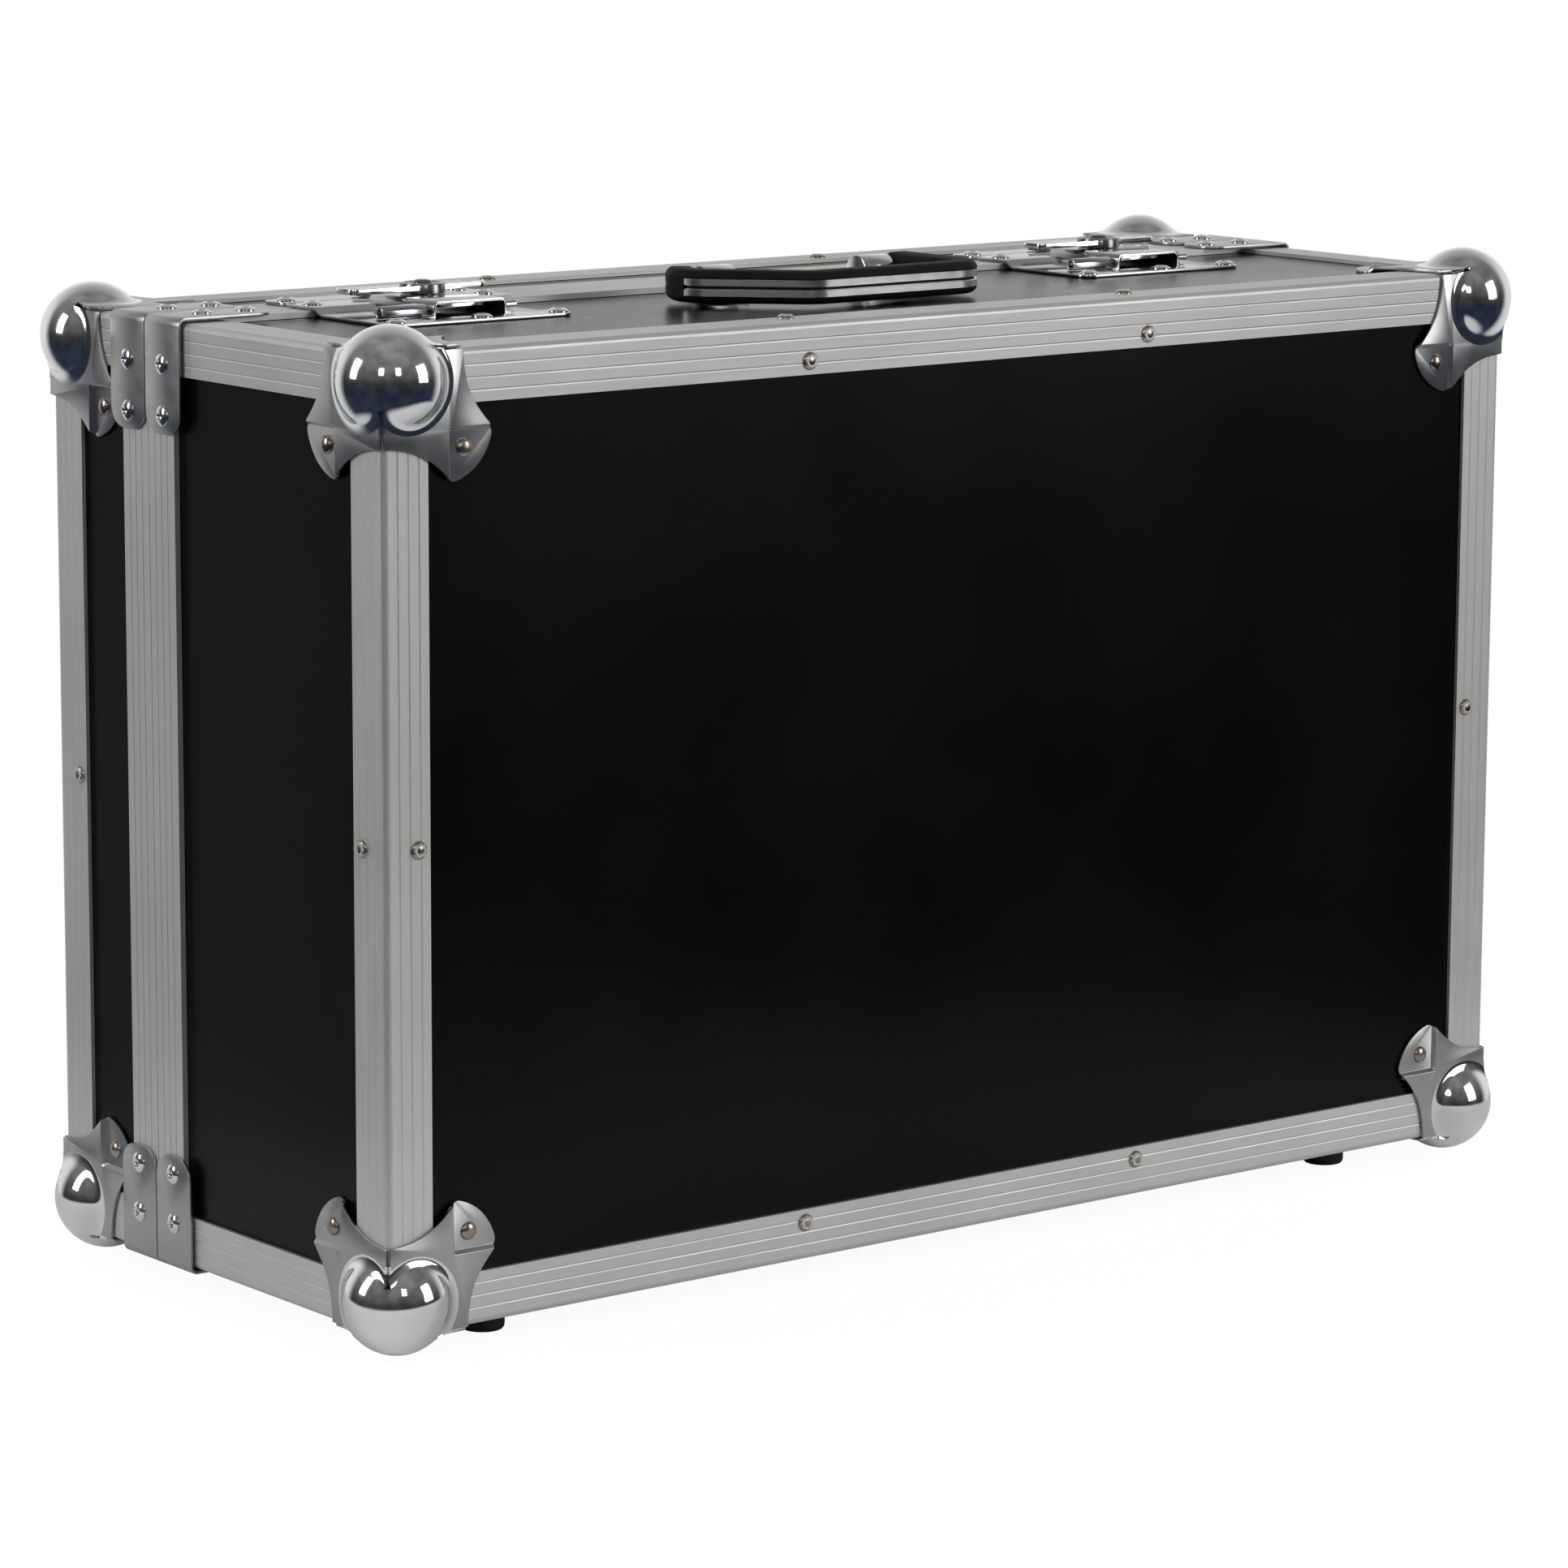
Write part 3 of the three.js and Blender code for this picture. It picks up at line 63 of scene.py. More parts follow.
# Points nearer than this become one where the thirds of a ball meet.
SEAM_MERGE = 0.02 * MM
# Radius of a new ring before its points are moved to their places.
BLANK_RADIUS = 1 * MM
# Edges sharper than this, in degrees, are rounded where a piece gives no angle of its own.
SHARP = 40.0
# Steps in each rounded corner of a plate.
CORNER_STEPS = 6
# A Mix node has several sockets of one name, so those for colours go by number.
MIX_FIRST, MIX_SECOND, MIX_RESULT = 6, 7, 2

Socket = bpy.types.NodeSocket
Colour = tuple[float, float, float]
Stops = tuple[tuple[float, float, float, float], ...]


@dataclass(frozen=True)
class CaseSizes:
    """Outer sizes of the case and the place of its seam."""

    half_length: float = 280 * MM
    bottom: float = 11.5 * MM
    top: float = 374.5 * MM
    front: float = -111.5 * MM
    back: float = 111.5 * MM
    seam: float = 42.5 * MM
    panel_sink: float = 1.8 * MM
    frame_width: float = 17.7 * MM
    frame_proud: float = 0.7 * MM
    seat: float = 0.2 * MM
    steel: float = 1.2 * MM


CASE = CaseSizes()


class Half(Enum):
    """The two halves of the case, named as their bodies are."""

    BASE = "base"
    LID = "lid"


class Side(Enum):
    """Left and right ends of the case, with the sign of their X."""

    LEFT = ("left", -1)
    RIGHT = ("right", 1)

    @property
    def word(self) -> str:
        """The side's name in the nodes."""
        return self.value[0]

    @property
    def sign(self) -> int:
        """The sign of X on that side."""
        return self.value[1]


class Level(Enum):
    """Top and bottom of the case, with the sign of their Z."""

    TOP = ("top", 1)
    BOTTOM = ("bottom", -1)

    @property
    def word(self) -> str:
        """The level's name in the nodes."""
        return self.value[0]

    @property
    def sign(self) -> int:
        """The sign of Z at that level."""
        return self.value[1]


class Run(Enum):
    """The direction that an extrusion's drawing lines follow, as the stretch of its pattern."""

    ALONG_X = (0.02, 1.0, 1.0)
    ALONG_Y = (1.0, 0.02, 1.0)
    ALONG_Z = (1.0, 1.0, 0.02)


class Workshop:
    """Modelling moves that all the builders share."""

    @staticmethod
    def clear() -> None:
        """Leaves edit mode and deselects everything."""
        active = bpy.context.view_layer.objects.active
        if active is not None and active.mode != "OBJECT":
            bpy.ops.object.mode_set(mode="OBJECT")
        bpy.ops.object.select_all(action="DESELECT")

    @staticmethod
    def activate(obj: bpy.types.Object) -> None:
        """Selects one object alone and makes it active.

        Args:
            obj: the object.
        """
        Workshop.clear()
        obj.select_set(True)
        bpy.context.view_layer.objects.active = obj

    @staticmethod
    def edit(obj: bpy.types.Object) -> None:
        """Opens an object in edit mode with all of it selected.

        Args:
            obj: the object.
        """
        Workshop.activate(obj)
        bpy.ops.object.mode_set(mode="EDIT")
        bpy.ops.mesh.select_all(action="SELECT")

    @staticmethod
    def close() -> None:
        """Turns all faces outwards and leaves edit mode."""
        bpy.ops.mesh.select_all(action="SELECT")
        bpy.ops.mesh.normals_make_consistent(inside=False)
        bpy.ops.object.mode_set(mode="OBJECT")

    @staticmethod
    def pick(obj: bpy.types.Object, test: Callable[[Vector], bool], kind: str = "FACE") -> int:
        """Selects the vertices, edges or faces whose middle passes a test.

        Args:
            obj: the object that is open in edit mode.
            test: says for a point whether it is wanted.
            kind: VERT, EDGE or FACE.

        Returns:
            How many were selected.
        """
        bpy.ops.mesh.select_mode(type=kind)
        bpy.ops.mesh.select_all(action="DESELECT")
        mesh = bmesh.from_edit_mesh(obj.data)
        count = 0
        parts = {"VERT": mesh.verts, "EDGE": mesh.edges, "FACE": mesh.faces}[kind]
        for part in parts:
            if kind == "VERT":
                middle = part.co
            else:
                middle = sum((v.co for v in part.verts), Vector()) / len(part.verts)
            if test(middle):
                part.select_set(True)
                count += 1
        bmesh.update_edit_mesh(obj.data)
        return count

    @staticmethod
    def outline(points: Sequence[Vector]) -> bpy.types.Object:
        """Adds a filled ring of vertices and moves each of them to its point.

        Args:
            points: the corners of the outline, in order.

        Returns:
            The new flat object.
        """
        Workshop.clear()
        bpy.ops.mesh.primitive_circle_add(vertices=len(points), radius=BLANK_RADIUS, fill_type="NGON")
        obj = bpy.context.active_object
        for vertex, point in zip(obj.data.vertices, points):
            vertex.co = point
        return obj

    @staticmethod
    def slab(points: Sequence[Vector], thickness: Vector, soften: float = 0.0) -> bpy.types.Object:
        """Extrudes an outline into a plate and softens its edges.

        Args:
            points: the corners of the outline.
            thickness: the way that the outline is extruded.
            soften: the width of the edge bevel, or zero for none.

        Returns:
            The plate.
        """
        obj = Workshop.outline(points)
        Workshop.edit(obj)
        bpy.ops.mesh.extrude_region_move(TRANSFORM_OT_translate={"value": thickness})
        Workshop.close()
        if soften > 0:
            Workshop.bevel(obj, soften)
        return obj

    @staticmethod
    def loft(rings: Sequence[Sequence[Vector]]) -> bpy.types.Object:
        """Extrudes a ring again and again, moving each new ring to its place.

        Args:
            rings: rings of equal count, each with its points in the same order.

        Returns:
            The closed solid through all the rings.
        """
        obj = Workshop.outline(rings[0])
        Workshop.edit(obj)
        previous = rings[0]
        for ring in rings[1:]:
            bpy.ops.mesh.extrude_region_move(TRANSFORM_OT_translate={"value": (0, 0, 0)})
            mesh = bmesh.from_edit_mesh(obj.data)
            for vertex in mesh.verts:
                if vertex.select:
                    gaps = [(point - vertex.co).length_squared for point in previous]
                    vertex.co = ring[gaps.index(min(gaps))]
            bmesh.update_edit_mesh(obj.data)
            previous = ring
        Workshop.close()
        return obj

    @staticmethod
    def turned(profile: Sequence[tuple[float, float]], steps: int) -> bpy.types.Object:
        """Spins a profile of (radius, height) round the Z axis.

        Args:
            profile: points from one end on the axis to the other.
            steps: the number of segments round the axis.

        Returns:
            The closed turned solid.
        """
        Workshop.clear()
        bpy.ops.mesh.primitive_circle_add(vertices=len(profile), radius=BLANK_RADIUS)
        obj = bpy.context.active_object
        for vertex, (radius, height) in zip(obj.data.vertices, profile):
            vertex.co = Vector((radius, 0, height))
        Workshop.edit(obj)
        ends = {0, len(profile) - 1}
        bpy.ops.mesh.select_mode(type="EDGE")
        bpy.ops.mesh.select_all(action="DESELECT")
        mesh = bmesh.from_edit_mesh(obj.data)
        for edge in mesh.edges:
            edge.select_set({v.index for v in edge.verts} == ends)
        bmesh.update_edit_mesh(obj.data)
        bpy.ops.mesh.delete(type="EDGE")
        bpy.ops.mesh.select_mode(type="VERT")
        bpy.ops.mesh.select_all(action="SELECT")
        bpy.ops.mesh.spin(steps=steps, angle=math.tau, center=(0, 0, 0), axis=(0, 0, 1))
        bpy.ops.mesh.select_all(action="SELECT")
        bpy.ops.mesh.remove_doubles(threshold=POLE_MERGE)
        Workshop.close()
        return obj

    @staticmethod
    def modify(obj: bpy.types.Object, kind: str, **settings: object) -> None:
        """Adds a modifier with its settings and applies it.

        Args:
            obj: the object.
            kind: the modifier's type.
            settings: its settings by name.
        """
        Workshop.activate(obj)
        bpy.ops.object.modifier_add(type=kind)
        modifier = obj.modifiers[-1]
        for name, value in settings.items():
            setattr(modifier, name, value)
        bpy.ops.object.modifier_apply(modifier=modifier.name)

    @staticmethod
    def bevel(obj: bpy.types.Object, width: float, angle: float = SHARP, steps: int = 2) -> None:
        """Rounds an object's sharp edges.

        Args:
            obj: the object.
            width: the width of the rounding.
            angle: edges sharper than this, in degrees, are rounded.
            steps: its steps.
        """
        Workshop.modify(
            obj, "BEVEL", width=width, segments=steps, limit_method="ANGLE",
            angle_limit=math.radians(angle), harden_normals=False,
        )

    @staticmethod
    def solidify(obj: bpy.types.Object, thickness: float) -> None:
        """Gives a surface its wall, inwards."""
        Workshop.modify(obj, "SOLIDIFY", thickness=thickness, offset=-1.0, use_even_offset=True)

    @staticmethod
    def cut(
        obj: bpy.types.Object, point: Vector, normal: Vector, keep_front: bool, fill: bool = True,
    ) -> None:
        """Bisects a mesh and clears one side of the plane.

        Args:
            obj: the object to cut.
            point: a point of the plane.
            normal: the plane's normal.
            keep_front: keeps the side that the normal points to.
            fill: closes the cut with faces.
        """
        Workshop.edit(obj)
        bpy.ops.mesh.bisect(
            plane_co=point, plane_no=normal, use_fill=fill,
            clear_inner=keep_front, clear_outer=not keep_front,
        )
        bpy.ops.object.mode_set(mode="OBJECT")

    @staticmethod
    def copy(obj: bpy.types.Object, matrix: Matrix) -> bpy.types.Object:
        """Copies an object with a mesh of its own and moves that mesh.

        Args:
            obj: the modelled piece.
            matrix: where the copy's mesh goes. A mirroring one has its faces turned back out.

        Returns:
            The copy.
        """
        twin = obj.copy()
        twin.data = obj.data.copy()
        bpy.context.scene.collection.objects.link(twin)
        twin.data.transform(matrix)
        if matrix.to_3x3().determinant() < 0:
            twin.data.flip_normals()
        return twin

    @staticmethod
    def join(parts: Sequence[bpy.types.Object]) -> bpy.types.Object:
        """Joins objects into the first of them.

        Args:
            parts: the objects.

        Returns:
            The joined object.
        """
        Workshop.clear()
        for part in parts:
            part.select_set(True)
        bpy.context.view_layer.objects.active = parts[0]
        bpy.ops.object.join()
        return parts[0]

    @staticmethod
    def discard(*objects: bpy.types.Object) -> None:
        """Removes patterns that were only copied from."""
        for obj in objects:
            bpy.data.objects.remove(obj, do_unlink=True)

    @staticmethod
    def smooth(obj: bpy.types.Object) -> None:
        """Shades a piece smooth and keeps its sharp edges."""
        Workshop.activate(obj)
        bpy.ops.object.shade_smooth_by_angle(angle=SMOOTH_ANGLE)

    @staticmethod
    def dress(obj: bpy.types.Object, material: bpy.types.Material) -> bpy.types.Object:
        """Gives an object one material.

        Args:
            obj: the object.
            material: the material.

        Returns:
            The same object.
        """
        obj.data.materials.clear()
        obj.data.materials.append(material)
        return obj

    @staticmethod
    def hand_over(obj: bpy.types.Object, name: str, body: str, slot: str, *nodes: str) -> None:
        """Names a finished piece, puts it on its body and lets it stand for its solids.

        Args:
            obj: the finished piece.
            name: its name.
            body: the body that it moves with.
            slot: a material slot's name; not used.
            nodes: the solids that it stands for.
        """
        obj.name = name
        obj.data.name = name
        Workshop.smooth(obj)
        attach(obj, body)
        if nodes:
            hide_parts(*nodes)
        LOG.info("made %s with %d faces on %s", name, len(obj.data.polygons), body)


def frame_matrix(origin: Vector, x_axis: Vector, y_axis: Vector, z_axis: Vector) -> Matrix:
    """The matrix that takes local axes to the given ones at an origin."""
    rows = Matrix((x_axis, y_axis, z_axis)).transposed().to_4x4()
    return Matrix.Translation(origin) @ rows


def lying_along_x(place: Vector) -> Matrix:
    """The matrix that lays a form turned round Z along X from a place."""
    return frame_matrix(place, Vector((0, 1, 0)), Vector((0, 0, 1)), Vector((1, 0, 0)))


def arc(
    centre: tuple[float, float], radius: float, start: float, end: float, steps: int,
) -> list[tuple[float, float]]:
    """Points of a circular arc, with its angles in degrees.

    Args:
        centre: the middle of the circle.
        radius: its radius.
        start: the first angle, in degrees.
        end: the last angle, in degrees.
        steps: how many steps lie between them.

    Returns:
        The points, with both ends.
    """
    points = []
    for i in range(steps + 1):
        angle = math.radians(start + (end - start) * i / steps)
        points.append((centre[0] + radius * math.cos(angle), centre[1] + radius * math.sin(angle)))
    return points


def rounded_rectangle(
    x0: float, x1: float, y0: float, y1: float, radius: float,
) -> list[tuple[float, float]]:
    """Corner points of a rectangle with rounded corners.

    Args:
        x0: the left side.
        x1: the right side.
        y0: the lower side.
        y1: the upper side.
        radius: of the corners.

    Returns:
        The points.
    """
    return [
        *arc((x1 - radius, y1 - radius), radius, 0, 90, CORNER_STEPS),
        *arc((x0 + radius, y1 - radius), radius, 90, 180, CORNER_STEPS),
        *arc((x0 + radius, y0 + radius), radius, 180, 270, CORNER_STEPS),
        *arc((x1 - radius, y0 + radius), radius, 270, 360, CORNER_STEPS),
    ]


class NodeBench:
    """Adds and links the nodes of one tree."""

    def __init__(self, tree: bpy.types.NodeTree) -> None:
        """Clears the tree for new nodes."""
        self.tree = tree
        self.tree.nodes.clear()

    def add(self, kind: str, **settings: object) -> bpy.types.Node:
        """Adds a node.

        Args:
            kind: the node's type.
            settings: its settings by name.

        Returns:
            The node.
        """
        node = self.tree.nodes.new(kind)
        for key, value in settings.items():
            setattr(node, key, value)
        return node

    def link(self, source: Socket, target: Socket) -> None:
        """Links one socket to another."""
        self.tree.links.new(source, target)

    def mapped(
        self, value: Socket, source: tuple[float, float], target: tuple[float, float] = (0, 1),
        smooth: bool = False,
    ) -> Socket:
        """Maps a value from one range to another.

        Args:
            value: the value's socket.
            source: the range that it comes from.
            target: the range that it goes to.
            smooth: eases the value in and out.

        Returns:
            The mapped value's socket.
        """
        node = self.add("ShaderNodeMapRange", interpolation_type="SMOOTHSTEP" if smooth else "LINEAR")
        for name, limit in zip(("From Min", "From Max", "To Min", "To Max"), (*source, *target)):
            node.inputs[name].default_value = limit
        self.link(value, node.inputs["Value"])
        return node.outputs["Result"]

    def maths(self, operation: str, first: Socket, second: Socket | float) -> Socket:
        """Joins two values, or a value and a constant.

        Args:
            operation: what is done with them.
            first: the first value's socket.
            second: the second value's socket, or a number.

        Returns:
            The result's socket.
        """
        node = self.add("ShaderNodeMath", operation=operation)
        self.link(first, node.inputs[0])
        if isinstance(second, float):
            node.inputs[1].default_value = second
        else:
            self.link(second, node.inputs[1])
        return node.outputs[0]

    def ramp(self, value: Socket, stops: Stops) -> Socket:
        """Turns a value into a colour.

        Args:
            value: the value's socket.
            stops: each a position with its red, green and blue.

        Returns:
            The colour's socket.
        """
        node = self.add("ShaderNodeValToRGB")
        elements = node.color_ramp.elements
        elements.remove(elements[1])
        elements[0].position = stops[0][0]
        elements[0].color = (*stops[0][1:], 1)
        for position, *colour in stops[1:]:
            elements.new(position).color = (*colour, 1)
        self.link(value, node.inputs["Fac"])
        return node.outputs["Color"]


class Shader(NodeBench):
    """A material whose nodes are wired round one principled shader."""

    noise_middle: tuple[float, float] = (0.3, 0.7)

    def __init__(self, name: str, **values: object) -> None:
        """Starts the material.

        Args:
            name: the material's name.
            values: constants for the shader's own sockets, with underscores for spaces.
        """
        self.material = bpy.data.materials.new(name)
        self.material.use_nodes = True
        super().__init__(self.material.node_tree)
        self.surface = self.add("ShaderNodeBsdfPrincipled")
        self.output = self.add("ShaderNodeOutputMaterial")
        self.link(self.surface.outputs["BSDF"], self.output.inputs["Surface"])
        self.place = self.add("ShaderNodeTexCoord").outputs["Object"]
        for key, value in values.items():
            self.surface.inputs[key.replace("_", " ")].default_value = value

    def noise(
        self, scale: float, detail: float = 3.0, stretch: tuple[float, float, float] = (1, 1, 1),
    ) -> Socket:
        """Noise over the object's own coordinates.

        Args:
            scale: cells to the metre.
            detail: octaves.
            stretch: scale of each axis, small along a drawn-out grain.

        Returns:
            The noise value's socket.
        """
        mapping = self.add("ShaderNodeMapping")
        mapping.inputs["Scale"].default_value = stretch
        node = self.add("ShaderNodeTexNoise")
        node.inputs["Scale"].default_value = scale
        node.inputs["Detail"].default_value = detail
        self.link(self.place, mapping.inputs["Vector"])
        self.link(mapping.outputs["Vector"], node.inputs["Vector"])
        return node.outputs["Fac"]

    def spread(self, value: Socket, low: float, high: float) -> Socket:
        """Maps the middle of a noise value to a range."""
        return self.mapped(value, self.noise_middle, (low, high))

    def blend(self, value: Socket, first: Colour, second: Colour) -> Socket:
        """Mixes two colours by a noise value.

        Args:
            value: the noise value's socket.
            first: the colour at low noise.
            second: the colour at high noise.

        Returns:
            The colour's socket.
        """
        node = self.add("ShaderNodeMix", data_type="RGBA")
        node.inputs[MIX_FIRST].default_value = (*first, 1)
        node.inputs[MIX_SECOND].default_value = (*second, 1)
        self.link(self.spread(value, 0, 1), node.inputs["Factor"])
        return node.outputs[MIX_RESULT]

    def feed(self, socket: str, value: Socket) -> None:
        """Links a value to one of the shader's sockets."""
        self.link(value, self.surface.inputs[socket])

    def relief(self, height: Socket, depth: float, strength: float) -> None:
        """Adds a bump to what the shader's normal already has.

        Args:
            height: the height's socket.
            depth: how deep the relief is.
            strength: how much of it shows.
        """
        node = self.add("ShaderNodeBump")
        node.inputs["Distance"].default_value = depth
        node.inputs["Strength"].default_value = strength
        self.link(height, node.inputs["Height"])
        normal = self.surface.inputs["Normal"]
        if normal.is_linked:
            self.link(normal.links[0].from_socket, node.inputs["Normal"])
        self.link(node.outputs["Normal"], normal)


@dataclass(frozen=True)
class Laminate:
    """Black pressed laminate with a fine pebble grain."""

    dark: Colour = (0.0014, 0.0015, 0.0016)
    light: Colour = (0.0026, 0.0027, 0.0029)
    roughness: tuple[float, float] = (0.22, 0.28)
    level: float = 0.12
    cloud_scale: float = 9
    grain_scale: float = 1500
    ripple_scale: float = 160
    grain_depth: float = 0.08 * MM
    grain_strength: float = 0.3
    ripple_depth: float = 0.05 * MM
    ripple_strength: float = 0.04

    def make(self) -> bpy.types.Material:
        """Wires the laminate.

        Returns:
            The material.
        """
        shader = Shader("black_laminate", Specular_IOR_Level=self.level)
        cloud = shader.noise(self.cloud_scale, detail=4)
        shader.feed("Base Color", shader.blend(cloud, self.dark, self.light))
        shader.feed("Roughness", shader.spread(cloud, *self.roughness))
        shader.relief(shader.noise(self.grain_scale, detail=2), self.grain_depth, self.grain_strength)
        shader.relief(shader.noise(self.ripple_scale), self.ripple_depth, self.ripple_strength)
        return shader.material


@dataclass(frozen=True)
class SatinAluminium:
    """Anodised extrusion with drawing lines along its run."""

    run: Run
    colour: Colour = (0.575, 0.575, 0.56)
    bright: Colour = (0.635, 0.635, 0.62)
    metal: float = 0.82
    roughness: tuple[float, float] = (0.44, 0.54)
    line_scale: float = 900
    cloud_scale: float = 14
    line_depth: float = 0.05 * MM
    line_strength: float = 0.12

    def make(self) -> bpy.types.Material:
        """Wires the aluminium for its run.

        Returns:
            The material.
        """
        shader = Shader(f"satin_aluminium_{self.run.name.lower()}", Metallic=self.metal)
        lines = shader.noise(self.line_scale, stretch=self.run.value)
        cloud = shader.noise(self.cloud_scale, detail=4)
        shader.feed("Base Color", shader.blend(cloud, self.colour, self.bright))
        shader.feed("Roughness", shader.spread(lines, *self.roughness))
        shader.relief(lines, self.line_depth, self.line_strength)
        return shader.material


@dataclass(frozen=True)
class BrightSteel:
    """Pressed steel with a plated skin, from mirror bright to satin."""

    name: str
    colour: Colour
    shade: Colour
    roughness: tuple[float, float]
    waviness: float
    cloud_scale: float = 24
    smear_scale: float = 110
    wave_scale: float = 38
    wave_depth: float = 0.5 * MM

    def make(self) -> bpy.types.Material:
        """Wires the plated steel.

        Returns:
            The material.
        """
        shader = Shader(self.name, Metallic=1.0)
        cloud = shader.noise(self.cloud_scale)
        smear = shader.noise(self.smear_scale)
        shader.feed("Base Color", shader.blend(cloud, self.colour, self.shade))
        shader.feed("Roughness", shader.spread(smear, *self.roughness))
        shader.relief(shader.noise(self.wave_scale, detail=1), self.wave_depth, self.waviness)
        return shader.material


@dataclass(frozen=True)
class Moulding:
    """Black moulded plastic or rubber with a fine matt skin."""

    name: str
    dark: Colour
    light: Colour
    roughness: tuple[float, float]
    grain_scale: float
    level: float
    cloud_scale: float = 40
    smear_scale: float = 300
    grain_depth: float = 0.06 * MM
    grain_strength: float = 0.3

    def make(self) -> bpy.types.Material:
        """Wires the moulded skin.

        Returns:
            The material.
        """
        shader = Shader(self.name, Specular_IOR_Level=self.level)
        cloud = shader.noise(self.cloud_scale, detail=4)
        shader.feed("Base Color", shader.blend(cloud, self.dark, self.light))
        shader.feed("Roughness", shader.spread(shader.noise(self.smear_scale), *self.roughness))
        shader.relief(shader.noise(self.grain_scale), self.grain_depth, self.grain_strength)
        return shader.material


@dataclass(frozen=True)
class Foam:
    """Closed-cell foam sheet, dark grey with a fine cell pattern."""

    dark: Colour = (0.016, 0.017, 0.019)
    light: Colour = (0.030, 0.031, 0.034)
    cell_scale: float = 900
    cloud_scale: float = 25
    cell_depth: float = 0.2 * MM
    cell_strength: float = 0.5
    roughness: float = 0.95
    level: float = 0.2
    sheen: float = 0.15

    def make(self) -> bpy.types.Material:
        """Wires the foam.

        Returns:
            The material.
        """
        shader = Shader(
            "foam_lining", Roughness=self.roughness, Specular_IOR_Level=self.level, Sheen_Weight=self.sheen,
        )
        cells = shader.add("ShaderNodeTexVoronoi")
        cells.inputs["Scale"].default_value = self.cell_scale
        shader.link(shader.place, cells.inputs["Vector"])
        cloud = shader.noise(self.cloud_scale, detail=5)
        shader.feed("Base Color", shader.blend(cloud, self.dark, self.light))
        shader.relief(cells.outputs["Distance"], self.cell_depth, self.cell_strength)
        return shader.material


class Finishes:
    """Every finish of the case, made once."""

    def __init__(self) -> None:
        """Makes the materials."""
        self.laminate = Laminate().make()
        self.aluminium = {run: SatinAluminium(run).make() for run in Run}
        self.chrome = BrightSteel(
            "bright_chrome", colour=(0.80, 0.81, 0.82), shade=(0.70, 0.71, 0.73),
            roughness=(0.05, 0.12), waviness=0.10,
        ).make()
        self.plated = BrightSteel(
            "pressed_plated_steel", colour=(0.45, 0.45, 0.45), shade=(0.39, 0.39, 0.395),
            roughness=(0.29, 0.36), waviness=0.08,
        ).make()
        self.latch = BrightSteel(
            "latch_steel", colour=(0.48, 0.49, 0.50), shade=(0.40, 0.41, 0.42),
            roughness=(0.14, 0.22), waviness=0.06,
        ).make()
        self.hub = BrightSteel(
            "dark_plated_steel", colour=(0.24, 0.245, 0.25), shade=(0.16, 0.165, 0.17),
            roughness=(0.18, 0.28), waviness=0.06,
        ).make()
        self.band = BrightSteel(
            "band_steel", colour=(0.56, 0.57, 0.58), shade=(0.46, 0.47, 0.48),
            roughness=(0.20, 0.28), waviness=0.06,
        ).make()
        # Domed rivet heads: nickel grey metal. The brown cast in both of its colours is a painted reflection
        # of brown surroundings.
        self.rivet = BrightSteel(
            "nickel_rivet_painted_brown_reflection", colour=(0.42, 0.37, 0.34), shade=(0.30, 0.25, 0.22),
            roughness=(0.20, 0.32), waviness=0.10,
        ).make()
        self.rubber = Moulding(
            "black_rubber", dark=(0.010, 0.010, 0.010), light=(0.018, 0.018, 0.018),
            roughness=(0.7, 0.85), grain_scale=700, level=0.4,
        ).make()
        self.grip = Moulding(
            "black_moulding", dark=(0.004, 0.004, 0.003), light=(0.008, 0.008, 0.006),
            roughness=(0.62, 0.74), grain_scale=900, level=0.15,
        ).make()
        self.foam = Foam().make()


class Shell:
    """Panels and extrusions that keep their solids."""

    def __init__(self, finishes: Finishes) -> None:
        """Keeps the finishes."""
        self.finishes = finishes

    def dress_node(self, node: str, material: bpy.types.Material) -> None:
        """Puts a material in every slot of a node.

        Args:
            node: the node's name.
            material: the material.
        """
        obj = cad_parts[node]
        if not obj.material_slots:
            obj.data.materials.append(material)
        for slot in obj.material_slots:
            slot.material = material

    def dress(self) -> None:
        """Dresses the laminate and the aluminium."""
        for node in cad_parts:
            if node.endswith("_panel"):
                self.dress_node(node, self.finishes.laminate)
        frames = ["lid_edge_frame", "base_split_frame", "lid_split_frame"]
        for node in ["front_top_angle", "front_bottom_angle", *frames]:
            self.dress_node(node, self.finishes.aluminium[Run.ALONG_X])
        for node in ["front_left_angle", "front_right_angle"]:
            self.dress_node(node, self.finishes.aluminium[Run.ALONG_Z])
        for level in Level:
            for side in Side:
                self.dress_node(f"base_{level.word}_{side.word}_angle", self.finishes.aluminium[Run.ALONG_Y])
        LOG.info("dressed the panels and extrusions")


